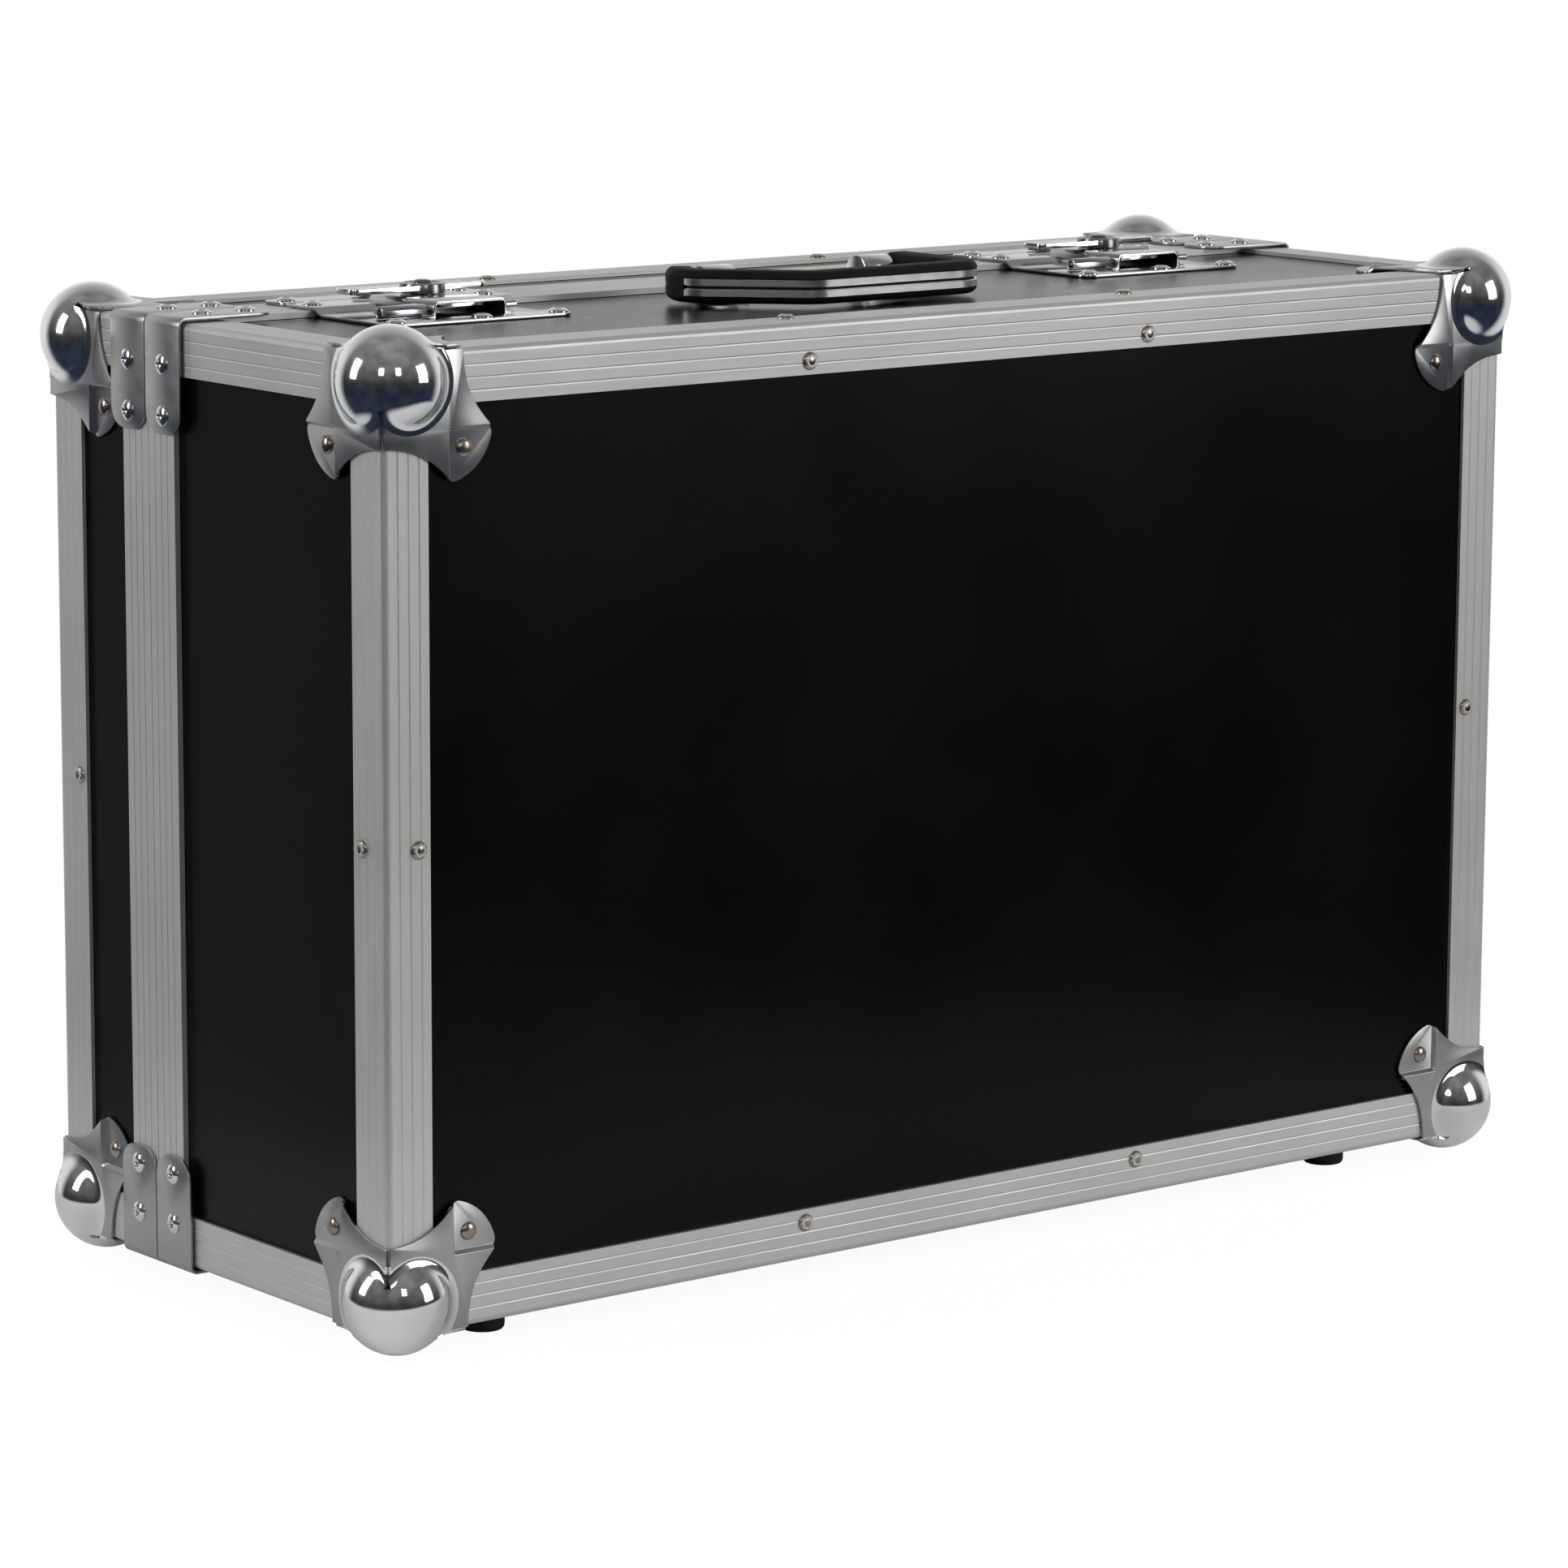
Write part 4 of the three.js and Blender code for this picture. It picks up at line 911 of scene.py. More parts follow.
@dataclass
class Rivets:
    """Domed and tubular rivet heads."""

    finishes: Finishes
    dome_radius: float = 3.5 * MM
    dome_height: float = 1.65 * MM
    pop_radius: float = 3.9 * MM
    pop_height: float = 1.35 * MM
    root: float = 0.3 * MM
    pop_shares: tuple[tuple[float, float], ...] = (
        (1, 0.0), (1, 0.35), (0.94, 0.55), (0.74, 0.78), (0.6, 1), (0.46, 1), (0.36, 0.7), (0.3, 0.3),
        (0, 0.2),
    )
    dome_steps: int = 7
    around: int = 24

    def dome(self) -> bpy.types.Object:
        """A smooth domed head that stands on Z = 0.

        Returns:
            The head.
        """
        profile = [(0.0, -self.root), (self.dome_radius, -self.root)]
        for i in range(self.dome_steps + 1):
            angle = math.pi / 2 * i / self.dome_steps
            profile.append((self.dome_radius * math.cos(angle), self.dome_height * math.sin(angle)))
        profile[-1] = (0.0, self.dome_height)
        return Workshop.dress(Workshop.turned(profile, self.around), self.finishes.rivet)

    def pop(self) -> bpy.types.Object:
        """A tubular head: a flat brim, a rolled ring and a drawn-in middle.

        Returns:
            The head.
        """
        r, h = self.pop_radius, self.pop_height
        profile = [(0.0, -self.root), (r, -self.root), *[(r * a, h * b) for a, b in self.pop_shares]]
        return Workshop.dress(Workshop.turned(profile, self.around), self.finishes.chrome)

    def row(
        self, pattern: bpy.types.Object, places: Sequence[Vector], normal: Vector,
    ) -> list[bpy.types.Object]:
        """Copies of a head at places, standing out along a normal.

        Args:
            pattern: the head.
            places: where they go.
            normal: the way that they stand out.

        Returns:
            The copies.
        """
        turn = Vector((0, 0, 1)).rotation_difference(normal).to_matrix().to_4x4()
        return [Workshop.copy(pattern, Matrix.Translation(place) @ turn) for place in places]


@dataclass
class AngleRivets:
    """The domed rivets along the edge angles."""

    rivets: Rivets
    from_edge: float = 14.8 * MM
    offset: float = 85 * MM
    lift: float = 0.02 * MM

    def rows(self, face: float, out: int) -> dict[str, list[tuple[list[Vector], Vector]]]:
        """Places of the rivets round one large face.

        Args:
            face: the face's Y.
            out: the sign of Y out of the case there.

        Returns:
            For each edge, its groups of places, each with the way that the heads stand out.
        """
        middle = (CASE.bottom + CASE.top) / 2
        spread = [-self.offset, self.offset]
        normal = Vector((0, out, 0))
        beside = face - out * self.from_edge
        skin = face + out * self.lift
        end = CASE.half_length
        return {
            "top": [
                ([Vector((x, skin, CASE.top - self.from_edge)) for x in spread], normal),
                ([Vector((x, beside, CASE.top + self.lift)) for x in spread], Vector((0, 0, 1))),
            ],
            "bottom": [([Vector((x, skin, CASE.bottom + self.from_edge)) for x in spread], normal)],
            "left": [
                ([Vector((-end + self.from_edge, skin, middle))], normal),
                ([Vector((-end - self.lift, beside, middle))], Vector((-1, 0, 0))),
            ],
            "right": [
                ([Vector((end - self.from_edge, skin, middle))], normal),
                ([Vector((end + self.lift, beside, middle))], Vector((1, 0, 0))),
            ],
        }

    def build(self) -> None:
        """Sets the heads of each angle and hands them over, one piece for each angle."""
        pattern = self.rivets.dome()
        for half, face, out, word in [(Half.BASE, CASE.front, -1, "front"), (Half.LID, CASE.back, 1, "back")]:
            for edge, groups in self.rows(face, out).items():
                heads = [h for places, way in groups for h in self.rivets.row(pattern, places, way)]
                Workshop.hand_over(Workshop.join(heads), f"{word}_{edge}_rivets", half.value, "chromed_steel")
        Workshop.discard(pattern)


@dataclass
class BallCorners:
    """Eight pressed corners: a ball with a flared neck and three riveted flaps."""

    finishes: Finishes
    rivets: Rivets
    ball: float = 20.4 * MM
    inset: float = 11.4 * MM
    neck: float = 7.0 * MM
    wall: float = 1.1 * MM
    top: float = 1.4 * MM
    reach: float = 34.6 * MM
    hollow_end: tuple[float, float] = (46.3 * MM, 27.8 * MM)
    hollow: float = 2.9 * MM
    tip: tuple[float, float] = (44.9 * MM, 31.6 * MM)
    tip_radius: float = 3.3 * MM
    tip_start: float = -35.0
    lobe_centre: float = 26.5 * MM
    step_line: float = 28.3 * MM
    step_run: float = 1.3 * MM
    step_drop: float = 1.75 * MM
    flap_edge: float = 0.2 * MM
    slit: float = 0.9 * MM
    slit_start: float = 21.0 * MM
    rivet_at: float = 36.2 * MM
    skirt: float = 1.6 * MM
    skirt_sink: float = 0.03 * MM
    soften: float = 0.3 * MM
    soften_angle: float = 28.0
    lid_trim: float = 24.3 * MM
    bare_from: float = 98.0
    bare_over: float = 26.0
    ball_share: float = 0.999
    cap_steps: int = 14
    neck_steps: int = 7
    hollow_steps: int = 12
    tip_steps: int = 6
    lobe_steps: int = 14
    around: int = 96

    def profile(self) -> list[tuple[float, float]]:
        """The section of ball, neck and skirt over one face.

        Returns:
            Pairs of a radius from the ball's axis and a height over the face.
        """
        reach = self.ball + self.neck
        rise = self.inset + self.top + self.neck
        run = math.sqrt(reach * reach - rise * rise)
        touch = math.atan2(run, rise)
        points = []
        for i in range(self.cap_steps + 1):
            angle = touch * i / self.cap_steps
            points.append((self.ball * math.sin(angle), self.ball * math.cos(angle) - self.inset))
        start = math.degrees(math.atan2(-rise, -run))
        points += arc((run, self.top + self.neck), self.neck, start, -90, self.neck_steps)[1:]
        points.append((run + self.skirt, self.top - self.skirt_sink))
        return points

    def ring(self, radius: float, height: float) -> list[Vector]:
        """One ring of the cap, which leaves the neck for the bare ball on the side away from the faces.

        Args:
            radius: the ring's radius from the ball's axis.
            height: its height over the face.

        Returns:
            The ring's points.
        """
        held = min(radius, self.ball_share * self.ball)
        bare = math.sqrt(max(self.ball**2 - held**2, 0)) - self.inset
        points = []
        for k in range(self.around):
            angle = math.tau * (k + 0.5) / self.around + math.pi / 4
            x = self.inset + radius * math.cos(angle)
            y = self.inset + radius * math.sin(angle)
            points.append(Vector((x, y, -(height + (bare - height) * self.outer_share(angle)))))
        return points

    def third(self) -> bpy.types.Object:
        """The ball's cap over one face with its neck, open at its skirt and cut to its third.

        Returns:
            The open sheet.
        """
        obj = Workshop.loft([self.ring(radius, height) for radius, height in self.profile()[1:]])
        Workshop.edit(obj)
        bpy.ops.mesh.select_mode(type="FACE")
        mesh = bmesh.from_edit_mesh(obj.data)
        for face in mesh.faces:
            inner = face.calc_center_median().z > -self.inset / 2
            face.select_set(len(face.verts) == self.around and inner)
        bmesh.update_edit_mesh(obj.data)
        bpy.ops.mesh.delete(type="ONLY_FACE")
        bpy.ops.mesh.select_all(action="SELECT")
        bpy.ops.object.mode_set(mode="OBJECT")
        for normal in (Vector((1, 0, -1)), Vector((0, 1, -1))):
            Workshop.cut(obj, Vector(), normal, keep_front=True, fill=False)
        return obj

    def outer_share(self, angle: float) -> float:
        """How far a direction round the cap points away from the faces, from 0 to 1.

        Args:
            angle: the direction, in radians.

        Returns:
            The share.
        """
        away = abs(math.degrees((angle - math.pi / 4 + math.pi) % math.tau - math.pi))
        share = min(max((away - self.bare_from) / self.bare_over, 0), 1)
        return share * share * (3 - 2 * share)

    def open_slit(self, obj: bpy.types.Object) -> None:
        """Clears the strip beside each box edge, from the neck outwards.

        Args:
            obj: the open sheet.
        """
        ways = ((Vector((0, 1, 0)), Vector((1, 0, -1))), (Vector((1, 0, 0)), Vector((0, 1, -1))))
        for along, across in ways:
            Workshop.edit(obj)
            bpy.ops.mesh.bisect(plane_co=along * self.slit_start, plane_no=along)
            Workshop.pick(obj, lambda p, a=along: p.dot(a) > self.slit_start)
            bpy.ops.mesh.bisect(
                plane_co=across.normalized() * self.slit, plane_no=across, clear_inner=True, use_fill=False,
            )
            bpy.ops.object.mode_set(mode="OBJECT")

    def flap(self) -> bpy.types.Object:
        """One flap: a pressed sheet whose lobe steps down on to the panel, with its rivet.

        Returns:
            The flap.
        """
        obj = Workshop.outline([Vector((u, v, -self.top)) for u, v in self.flap_outline()])
        self.press_step(obj)
        self.point_out(obj)
        Workshop.solidify(obj, self.wall)
        Workshop.bevel(obj, self.soften, self.soften_angle)
        Workshop.dress(obj, self.finishes.plated)
        pattern = self.rivets.dome()
        at = Vector((self.rivet_at, self.rivet_at, -self.top + self.step_drop))
        heads = self.rivets.row(pattern, [at], Vector((0, 0, -1)))
        Workshop.discard(pattern)
        return Workshop.join([obj, *heads])

    def flap_outline(self) -> list[tuple[float, float]]:
        """The flap's outline: two hollow edges, two rounded tips and the lobe between them.

        Returns:
            The outline's points in the face.
        """
        edge = self.flap_edge
        lower = []
        for i in range(self.hollow_steps + 1):
            t = i / self.hollow_steps
            sag = math.sin(math.pi * t) * self.hollow
            u = self.reach + (self.hollow_end[0] - self.reach) * t - sag
            v = edge + (self.hollow_end[1] - edge) * t + sag / 2
            lower.append((u, v))
        across, along = self.tip[0] - self.lobe_centre, self.tip[1] - self.lobe_centre
        meet = math.degrees(math.atan2(along, across))
        radius = math.hypot(across, along) + self.tip_radius
        lower += arc(self.tip, self.tip_radius, self.tip_start, meet, self.tip_steps)
        upper = [(v, u) for u, v in reversed(lower)]
        middle = (self.lobe_centre, self.lobe_centre)
        bulge = arc(middle, radius, meet, 90 - meet, self.lobe_steps)[1:-1]
        return [(self.inset, edge), *lower, *bulge, *upper, (edge, self.inset)]

    def press_step(self, obj: bpy.types.Object) -> None:
        """Presses the lobe's corner down on to the panel.

        Args:
            obj: the flat flap.
        """
        line, run = self.step_line, self.step_run
        for plane in (Vector((1, 0, 0)), Vector((0, 1, 0))):
            for offset in (line, line + run):
                Workshop.edit(obj)
                bpy.ops.mesh.bisect(plane_co=plane * offset, plane_no=plane)
                bpy.ops.object.mode_set(mode="OBJECT")
        Workshop.edit(obj)
        limit = line + run - PICK
        Workshop.pick(obj, lambda p: p.x > limit and p.y > limit, "VERT")
        bpy.ops.transform.translate(value=(0, 0, self.step_drop))
        bpy.ops.mesh.select_mode(type="FACE")
        bpy.ops.mesh.select_all(action="SELECT")
        bpy.ops.object.mode_set(mode="OBJECT")

    def point_out(self, obj: bpy.types.Object) -> None:
        """Turns an open sheet so that its faces look out of the box, towards -Z.

        Args:
            obj: the sheet.
        """
        total = sum((face.normal.z * face.area for face in obj.data.polygons), 0.0)
        if total > 0:
            obj.data.flip_normals()

    def pattern(self) -> bpy.types.Object:
        """The whole corner in its own frame, where X, Y and Z run into the box.

        Returns:
            The corner.
        """
        cap = self.third()
        self.open_slit(cap)
        self.point_out(cap)
        turns = [
            Matrix.Identity(4),
            frame_matrix(Vector(), Vector((0, 1, 0)), Vector((0, 0, 1)), Vector((1, 0, 0))),
            frame_matrix(Vector(), Vector((0, 0, 1)), Vector((1, 0, 0)), Vector((0, 1, 0))),
        ]
        ball = Workshop.join([Workshop.copy(cap, turn) for turn in turns])
        Workshop.edit(ball)
        bpy.ops.mesh.remove_doubles(threshold=SEAM_MERGE)
        bpy.ops.object.mode_set(mode="OBJECT")
        Workshop.solidify(ball, self.wall)
        Workshop.dress(ball, self.finishes.chrome)
        flap = self.flap()
        whole = Workshop.join([ball, *[Workshop.copy(flap, turn) for turn in turns]])
        Workshop.discard(cap, flap)
        return whole

    def build(self) -> None:
        """Copies the corner to the eight corners of the case."""
        whole = self.pattern()
        short = Workshop.copy(whole, Matrix.Identity(4))
        limit = CASE.back - CASE.seam - self.lid_trim
        Workshop.cut(short, Vector((0, limit, 0)), Vector((0, 1, 0)), keep_front=False)
        halves = [(Half.BASE, CASE.front, 1, whole), (Half.LID, CASE.back, -1, short)]
        for half, face, inward, shape in halves:
            for side in Side:
                for level in Level:
                    z = CASE.top if level is Level.TOP else CASE.bottom
                    place = frame_matrix(
                        Vector((side.sign * CASE.half_length, face, z)),
                        Vector((-side.sign, 0, 0)), Vector((0, inward, 0)), Vector((0, 0, -level.sign)),
                    )
                    node = f"{half.value}_{level.word}_{side.word}_ball_corner"
                    twin = Workshop.copy(shape, place)
                    Workshop.hand_over(twin, f"{node}_pressing", half.value, "chromed_steel", node)
        Workshop.discard(whole, short)


@dataclass
class Braces:
    """Eight bent straps over the box edges beside the seam."""

    finishes: Finishes
    rivets: Rivets
    width: float = 23.6 * MM
    gap: float = 0.6 * MM
    reach: float = 43.3 * MM
    bend: float = 2.0 * MM
    end_radius: float = 8.5 * MM
    rivet_places: tuple[float, float] = (16.9 * MM, 36.4 * MM)
    soften: float = 0.28 * MM
    soften_angle: float = 35.0
    bend_steps: int = 8
    end_steps: int = 8

    def pattern(self) -> bpy.types.Object:
        """One brace in its own frame, with legs along X and Y and its width along Z.

        Returns:
            The brace.
        """
        half = self.width / 2
        outer = -CASE.steel
        corners = [
            Vector((self.bend, outer, -half)), Vector((self.reach, outer, -half)),
            Vector((self.reach, outer, half)), Vector((self.bend, outer, half)),
        ]
        obj = Workshop.outline(corners)
        Workshop.edit(obj)
        Workshop.pick(obj, lambda p: abs(p.x - self.bend) < PICK, "EDGE")
        centre = (self.bend, self.bend, 0)
        bpy.ops.mesh.spin(steps=self.bend_steps, angle=math.pi / 2, center=centre, axis=(0, 0, 1))
        length = self.reach - self.bend
        bpy.ops.mesh.extrude_region_move(TRANSFORM_OT_translate={"value": (0, length, 0)})
        Workshop.pick(obj, lambda p: max(p.x, p.y) > self.reach - PICK, "VERT")
        bpy.ops.mesh.bevel(offset=self.end_radius, segments=self.end_steps, affect="VERTICES")
        bpy.ops.object.mode_set(mode="OBJECT")
        leg = max(obj.data.polygons, key=lambda f: f.area if f.center.y < 0 else 0)
        if leg.normal.y > 0:
            obj.data.flip_normals()
        Workshop.solidify(obj, CASE.steel)
        Workshop.bevel(obj, self.soften, self.soften_angle)
        Workshop.dress(obj, self.finishes.plated)
        head = self.rivets.pop()
        along_x = [Vector((a, outer, 0)) for a in self.rivet_places]
        along_y = [Vector((outer, a, 0)) for a in self.rivet_places]
        on_first = self.rivets.row(head, along_x, Vector((0, -1, 0)))
        on_second = self.rivets.row(head, along_y, Vector((-1, 0, 0)))
        Workshop.discard(head)
        return Workshop.join([obj, *on_first, *on_second])

    def build(self) -> None:
        """Copies the brace to its eight places."""
        shape = self.pattern()
        out = CASE.frame_proud + CASE.seat
        shift = (self.width + self.gap) / 2
        for half, y in [(Half.BASE, CASE.seam - shift), (Half.LID, CASE.seam + shift)]:
            for side in Side:
                for level in Level:
                    z = CASE.top + out if level is Level.TOP else CASE.bottom - out
                    place = frame_matrix(
                        Vector((side.sign * (CASE.half_length + out), y, z)),
                        Vector((-side.sign, 0, 0)), Vector((0, 0, -level.sign)), Vector((0, 1, 0)),
                    )
                    node = f"{half.value}_{level.word}_{side.word}_brace"
                    twin = Workshop.copy(shape, place)
                    Workshop.hand_over(twin, f"{node}_strap", half.value, "chromed_steel", node)
        Workshop.discard(shape)


@dataclass
class Handle:
    """The folding grip with its bright bands, and the two riveted brackets."""

    finishes: Finishes
    rivets: Rivets
    pivot_y: float = -12 * MM
    clearance: float = 1.5 * MM
    thickness: float = 13 * MM
    depth: float = 12 * MM
    left_arm: float = 70 * MM
    right_arm: float = 41 * MM
    shoulder_out: float = 6 * MM
    shoulder_from_pivot: float = 10.5 * MM
    grip_left: float = 40 * MM
    grip_from_pivot: float = 45 * MM
    bend: float = 11 * MM
    bend_steps: int = 10
    edge: float = 3.4 * MM
    edge_steps: int = 6
    edge_span: tuple[float, float] = (5.0, 345.0)
    end_round: float = 0.1
    band_height: float = 7.4 * MM
    band_drop: float = 0.2 * MM
    band_sink: float = 0.45 * MM
    band_sink_share: float = 0.3
    band_wall: float = 1.0 * MM
    band_from_bend: float = 8.6 * MM
    band_from_pivot: float = 12 * MM
    channel_spare: float = 0.15 * MM
    pin: float = 2.5 * MM
    saddle: float = 6.2 * MM
    saddle_length: float = 15 * MM
    saddle_gap: float = 2.5 * MM
    bracket_length: float = 18.6 * MM
    bracket_width: float = 28 * MM
    bracket_corner: float = 4 * MM
    bracket_soften: float = 0.3 * MM
    saddle_foot: float = 1.6 * MM
    saddle_brim: float = 0.6 * MM
    saddle_soften: float = 0.4 * MM
    saddle_steps: int = 16
    foot_steps: int = 4
    pin_soften: float = 0.4 * MM
    pin_steps: int = 24
    band_soften: float = 0.35 * MM
    band_half_gap: float = 0.5 * MM
    cap_shares: tuple[tuple[float, float], ...] = ((0.35, 0.97), (0.68, 0.85), (0.9, 0.66), (1.0, 0.42))

    @property
    def axis_z(self) -> float:
        """Height of the pivot's centre line."""
        return CASE.top - CASE.panel_sink + self.clearance + self.thickness / 2

    def path(self, skipped: float = 0.0, stop: float = 0.0) -> list[tuple[Vector, Vector]]:
        """Points of the centre line in plan with the direction out of the grip.

        Args:
            skipped: a length of the first bend that the line leaves out with all before it, or zero.
            stop: how far the line ends before the right pivot.

        Returns:
            Pairs of a point and its outward direction.
        """
        front = self.pivot_y - self.grip_from_pivot
        corners = [
            Vector((-self.left_arm, self.pivot_y)),
            Vector((-self.left_arm - self.shoulder_out, self.pivot_y - self.shoulder_from_pivot)),
            Vector((-self.grip_left, front)),
            Vector((self.right_arm, front)),
            Vector((self.right_arm, self.pivot_y)),
        ]
        line: list[tuple[Vector, Vector]] = []

        def put(point: Vector, way: Vector) -> None:
            """Adds a point with the normal to the right of its way."""
            line.append((point.copy(), Vector((way.y, -way.x))))

        if skipped == 0:
            first = (corners[1] - corners[0]).normalized()
            put(corners[0] - first * self.depth * self.end_round, first)
        for before, here, after in zip(corners, corners[1:], corners[2:]):
            into, out = (here - before).normalized(), (after - here).normalized()
            turn = math.atan2(into.x * out.y - into.y * out.x, into.dot(out))
            cut = self.bend * math.tan(abs(turn) / 2)
            start = here - into * cut
            side = Vector((-into.y, into.x)) * math.copysign(1, turn)
            centre = start + side * self.bend
            begin = skipped / self.bend if here is corners[1] else 0.0
            for k in range(self.bend_steps + 1):
                spin = Matrix.Rotation(begin + (turn - begin) * k / self.bend_steps, 2)
                put(centre + spin @ (start - centre), spin @ into)
        last = (corners[-1] - corners[-2]).normalized()
        put(corners[-1] - last * (stop if stop > 0 else -self.depth * self.end_round), last)
        return line

    def section(self, channel: bool) -> list[tuple[float, float]]:
        """The grip's section.

        Args:
            channel: whether the section has the channel for the bands.

        Returns:
            Pairs of a length outwards and a length up.
        """
        d, t = self.depth / 2, self.thickness / 2
        low = -self.band_height / 2 - self.band_drop - self.channel_spare
        high = self.band_height / 2 - self.band_drop + self.channel_spare
        floor = d - self.band_wall - self.band_sink if channel else d
        shift = 0.0 if channel else self.band_sink
        r, steps = self.edge, self.edge_steps
        first, last = self.edge_span
        return [
            *arc((d - r, t - r), r, first, 90, steps),
            *arc((-d + r, t - r), r, 90, 180, steps)[1:],
            *arc((-d + r, -t + r), r, 180, 270, steps),
            *arc((d - r, -t + r), r, 270, last, steps),
            (d, low), (floor, low + shift), (floor, high - shift), (d, high),
        ]

    def sweep(
        self, section: Sequence[tuple[float, float]], line: Sequence[tuple[Vector, Vector]],
    ) -> list[list[Vector]]:
        """Rings of a section along a line.

        Args:
            section: pairs of a length outwards and one up.
            line: pairs of a point and its outward direction.

        Returns:
            The rings.
        """
        return [
            [Vector((p.x + n.x * a, p.y + n.y * a, self.axis_z + b)) for a, b in section]
            for p, n in line
        ]

    def cap(self, place: tuple[Vector, Vector], sign: int) -> list[list[Vector]]:
        """Rings that round off one end of the grip.

        Args:
            place: the end's point and outward direction.
            sign: 1 at the left end of the line, -1 at its right end.

        Returns:
            Rings from the end of the line outwards.
        """
        point, normal = place
        way = Vector((normal.y, -normal.x)) * sign
        reach = self.thickness / 2 - self.depth * self.end_round
        rings = []
        for share, scale in self.cap_shares:
            ahead = point + way * reach * share
            smaller = [(a * scale, b * scale) for a, b in self.section(False)]
            rings += self.sweep(smaller, [(ahead, normal)])
        return rings

    def grip(self) -> bpy.types.Object:
        """The moulded grip with rounded ends and its channel between two plain lengths.

        Returns:
            The grip.
        """
        whole = self.path()
        spare = self.channel_spare
        banded = self.path(self.band_from_bend - spare, self.band_from_pivot - spare)
        origin, normal = banded[0]
        way = Vector((-normal.y, normal.x))
        before = [pair for pair in whole[:self.bend_steps + 2] if (pair[0] - origin).dot(way) < 0]
        left = self.sweep(self.section(False), [*before, banded[0]])
        middle = self.sweep(self.section(True), banded)
        right = self.sweep(self.section(False), [banded[-1], whole[-1]])
        rings = [*reversed(self.cap(whole[0], 1)), *left, *middle, *right, *self.cap(whole[-1], -1)]
        return Workshop.dress(Workshop.loft(rings), self.finishes.grip)

    def bands(self) -> bpy.types.Object:
        """Two bright strips in the channel, one above the other, with a dark line between.

        Returns:
            The strips.
        """
        line = self.path(self.band_from_bend, self.band_from_pivot)
        outer = self.depth / 2 - self.band_sink * self.band_sink_share
        inner = outer - self.band_wall
        soft, gap = self.band_soften, self.band_half_gap
        middle = -self.band_drop
        half = self.band_height / 2
        parts = []
        for low, high in ((middle + gap, middle + half), (middle - half, middle - gap)):
            section = [
                (inner, low), (outer - soft, low), (outer, low + soft),
                (outer, high - soft), (outer - soft, high), (inner, high),
            ]
            parts.append(Workshop.loft(self.sweep(section, line)))
        return Workshop.dress(Workshop.join(parts), self.finishes.band)

    def bracket(self, side: Side) -> bpy.types.Object:
        """A riveted plate with a pressed saddle, and the pin out to the arm.

        Args:
            side: the end of the handle that the arm lies at.

        Returns:
            The bracket.
        """
        arm = self.left_arm if side is Side.LEFT else self.right_arm
        saddle_out = arm - self.depth / 2 - self.saddle_gap
        saddle_in = saddle_out - self.saddle_length
        middle = (saddle_out + saddle_in) / 2
        low = CASE.top - CASE.panel_sink + CASE.seat
        outline = rounded_rectangle(
            middle - self.bracket_length / 2, middle + self.bracket_length / 2,
            self.pivot_y - self.bracket_width / 2, self.pivot_y + self.bracket_width / 2, self.bracket_corner,
        )
        corners = [Vector((x, y, low)) for x, y in outline]
        plate = Workshop.slab(corners, Vector((0, 0, CASE.steel)), self.bracket_soften)
        rise = self.axis_z - low
        foot, root = self.saddle_foot, CASE.steel / 2
        brim = self.saddle + foot + self.saddle_brim
        arch = [
            *arc((0, rise), self.saddle, 0, 180, self.saddle_steps),
            *arc((-self.saddle - foot, CASE.steel + foot), foot, 0, -90, self.foot_steps),
            (-brim, root), (brim, root),
            *arc((self.saddle + foot, CASE.steel + foot), foot, 270, 180, self.foot_steps),
        ]
        ring = [Vector((saddle_in, self.pivot_y + a, low + b)) for a, b in arch]
        saddle = Workshop.slab(ring, Vector((self.saddle_length, 0, 0)), self.saddle_soften)
        bar = self.bar(self.pin, saddle_in + self.saddle_length / 2, arm + self.depth / 2)
        for part in (plate, saddle, bar):
            Workshop.dress(part, self.finishes.chrome)
        head = self.rivets.pop()
        off = (self.bracket_width / 2 + self.saddle) / 2
        places = [Vector((middle, self.pivot_y + s * off, low + CASE.steel)) for s in (-1, 1)]
        heads = self.rivets.row(head, places, Vector((0, 0, 1)))
        Workshop.discard(head)
        whole = Workshop.join([plate, saddle, bar, *heads])
        if side is Side.LEFT:
            whole.data.transform(Matrix.Scale(-1, 4, Vector((1, 0, 0))))
            whole.data.flip_normals()
        return whole

    def bar(self, radius: float, x0: float, x1: float) -> bpy.types.Object:
        """A round steel bar along X on the pivot line, with softened ends.

        Args:
            radius: its radius.
            x0: its left end.
            x1: its right end.

        Returns:
            The bar.
        """
        soft, length = self.pin_soften, x1 - x0
        ends = [(radius - soft, 0), (radius, soft), (radius, length - soft), (radius - soft, length)]
        obj = Workshop.turned([(0, 0), *ends, (0, length)], self.pin_steps)
        obj.data.transform(lying_along_x(Vector((x0, self.pivot_y, self.axis_z))))
        return obj

    def build(self) -> None:
        """Makes the grip, its bands and the brackets."""
        Workshop.hand_over(self.grip(), "grip_moulding", "handle", "black_moulding", "handle_grip")
        Workshop.hand_over(self.bands(), "grip_bands", "handle", "chromed_steel", "handle_band")
        for side in Side:
            node = f"{side.word}_handle_bracket"
            Workshop.hand_over(self.bracket(side), f"{node}_saddle", "base", "chromed_steel", node)


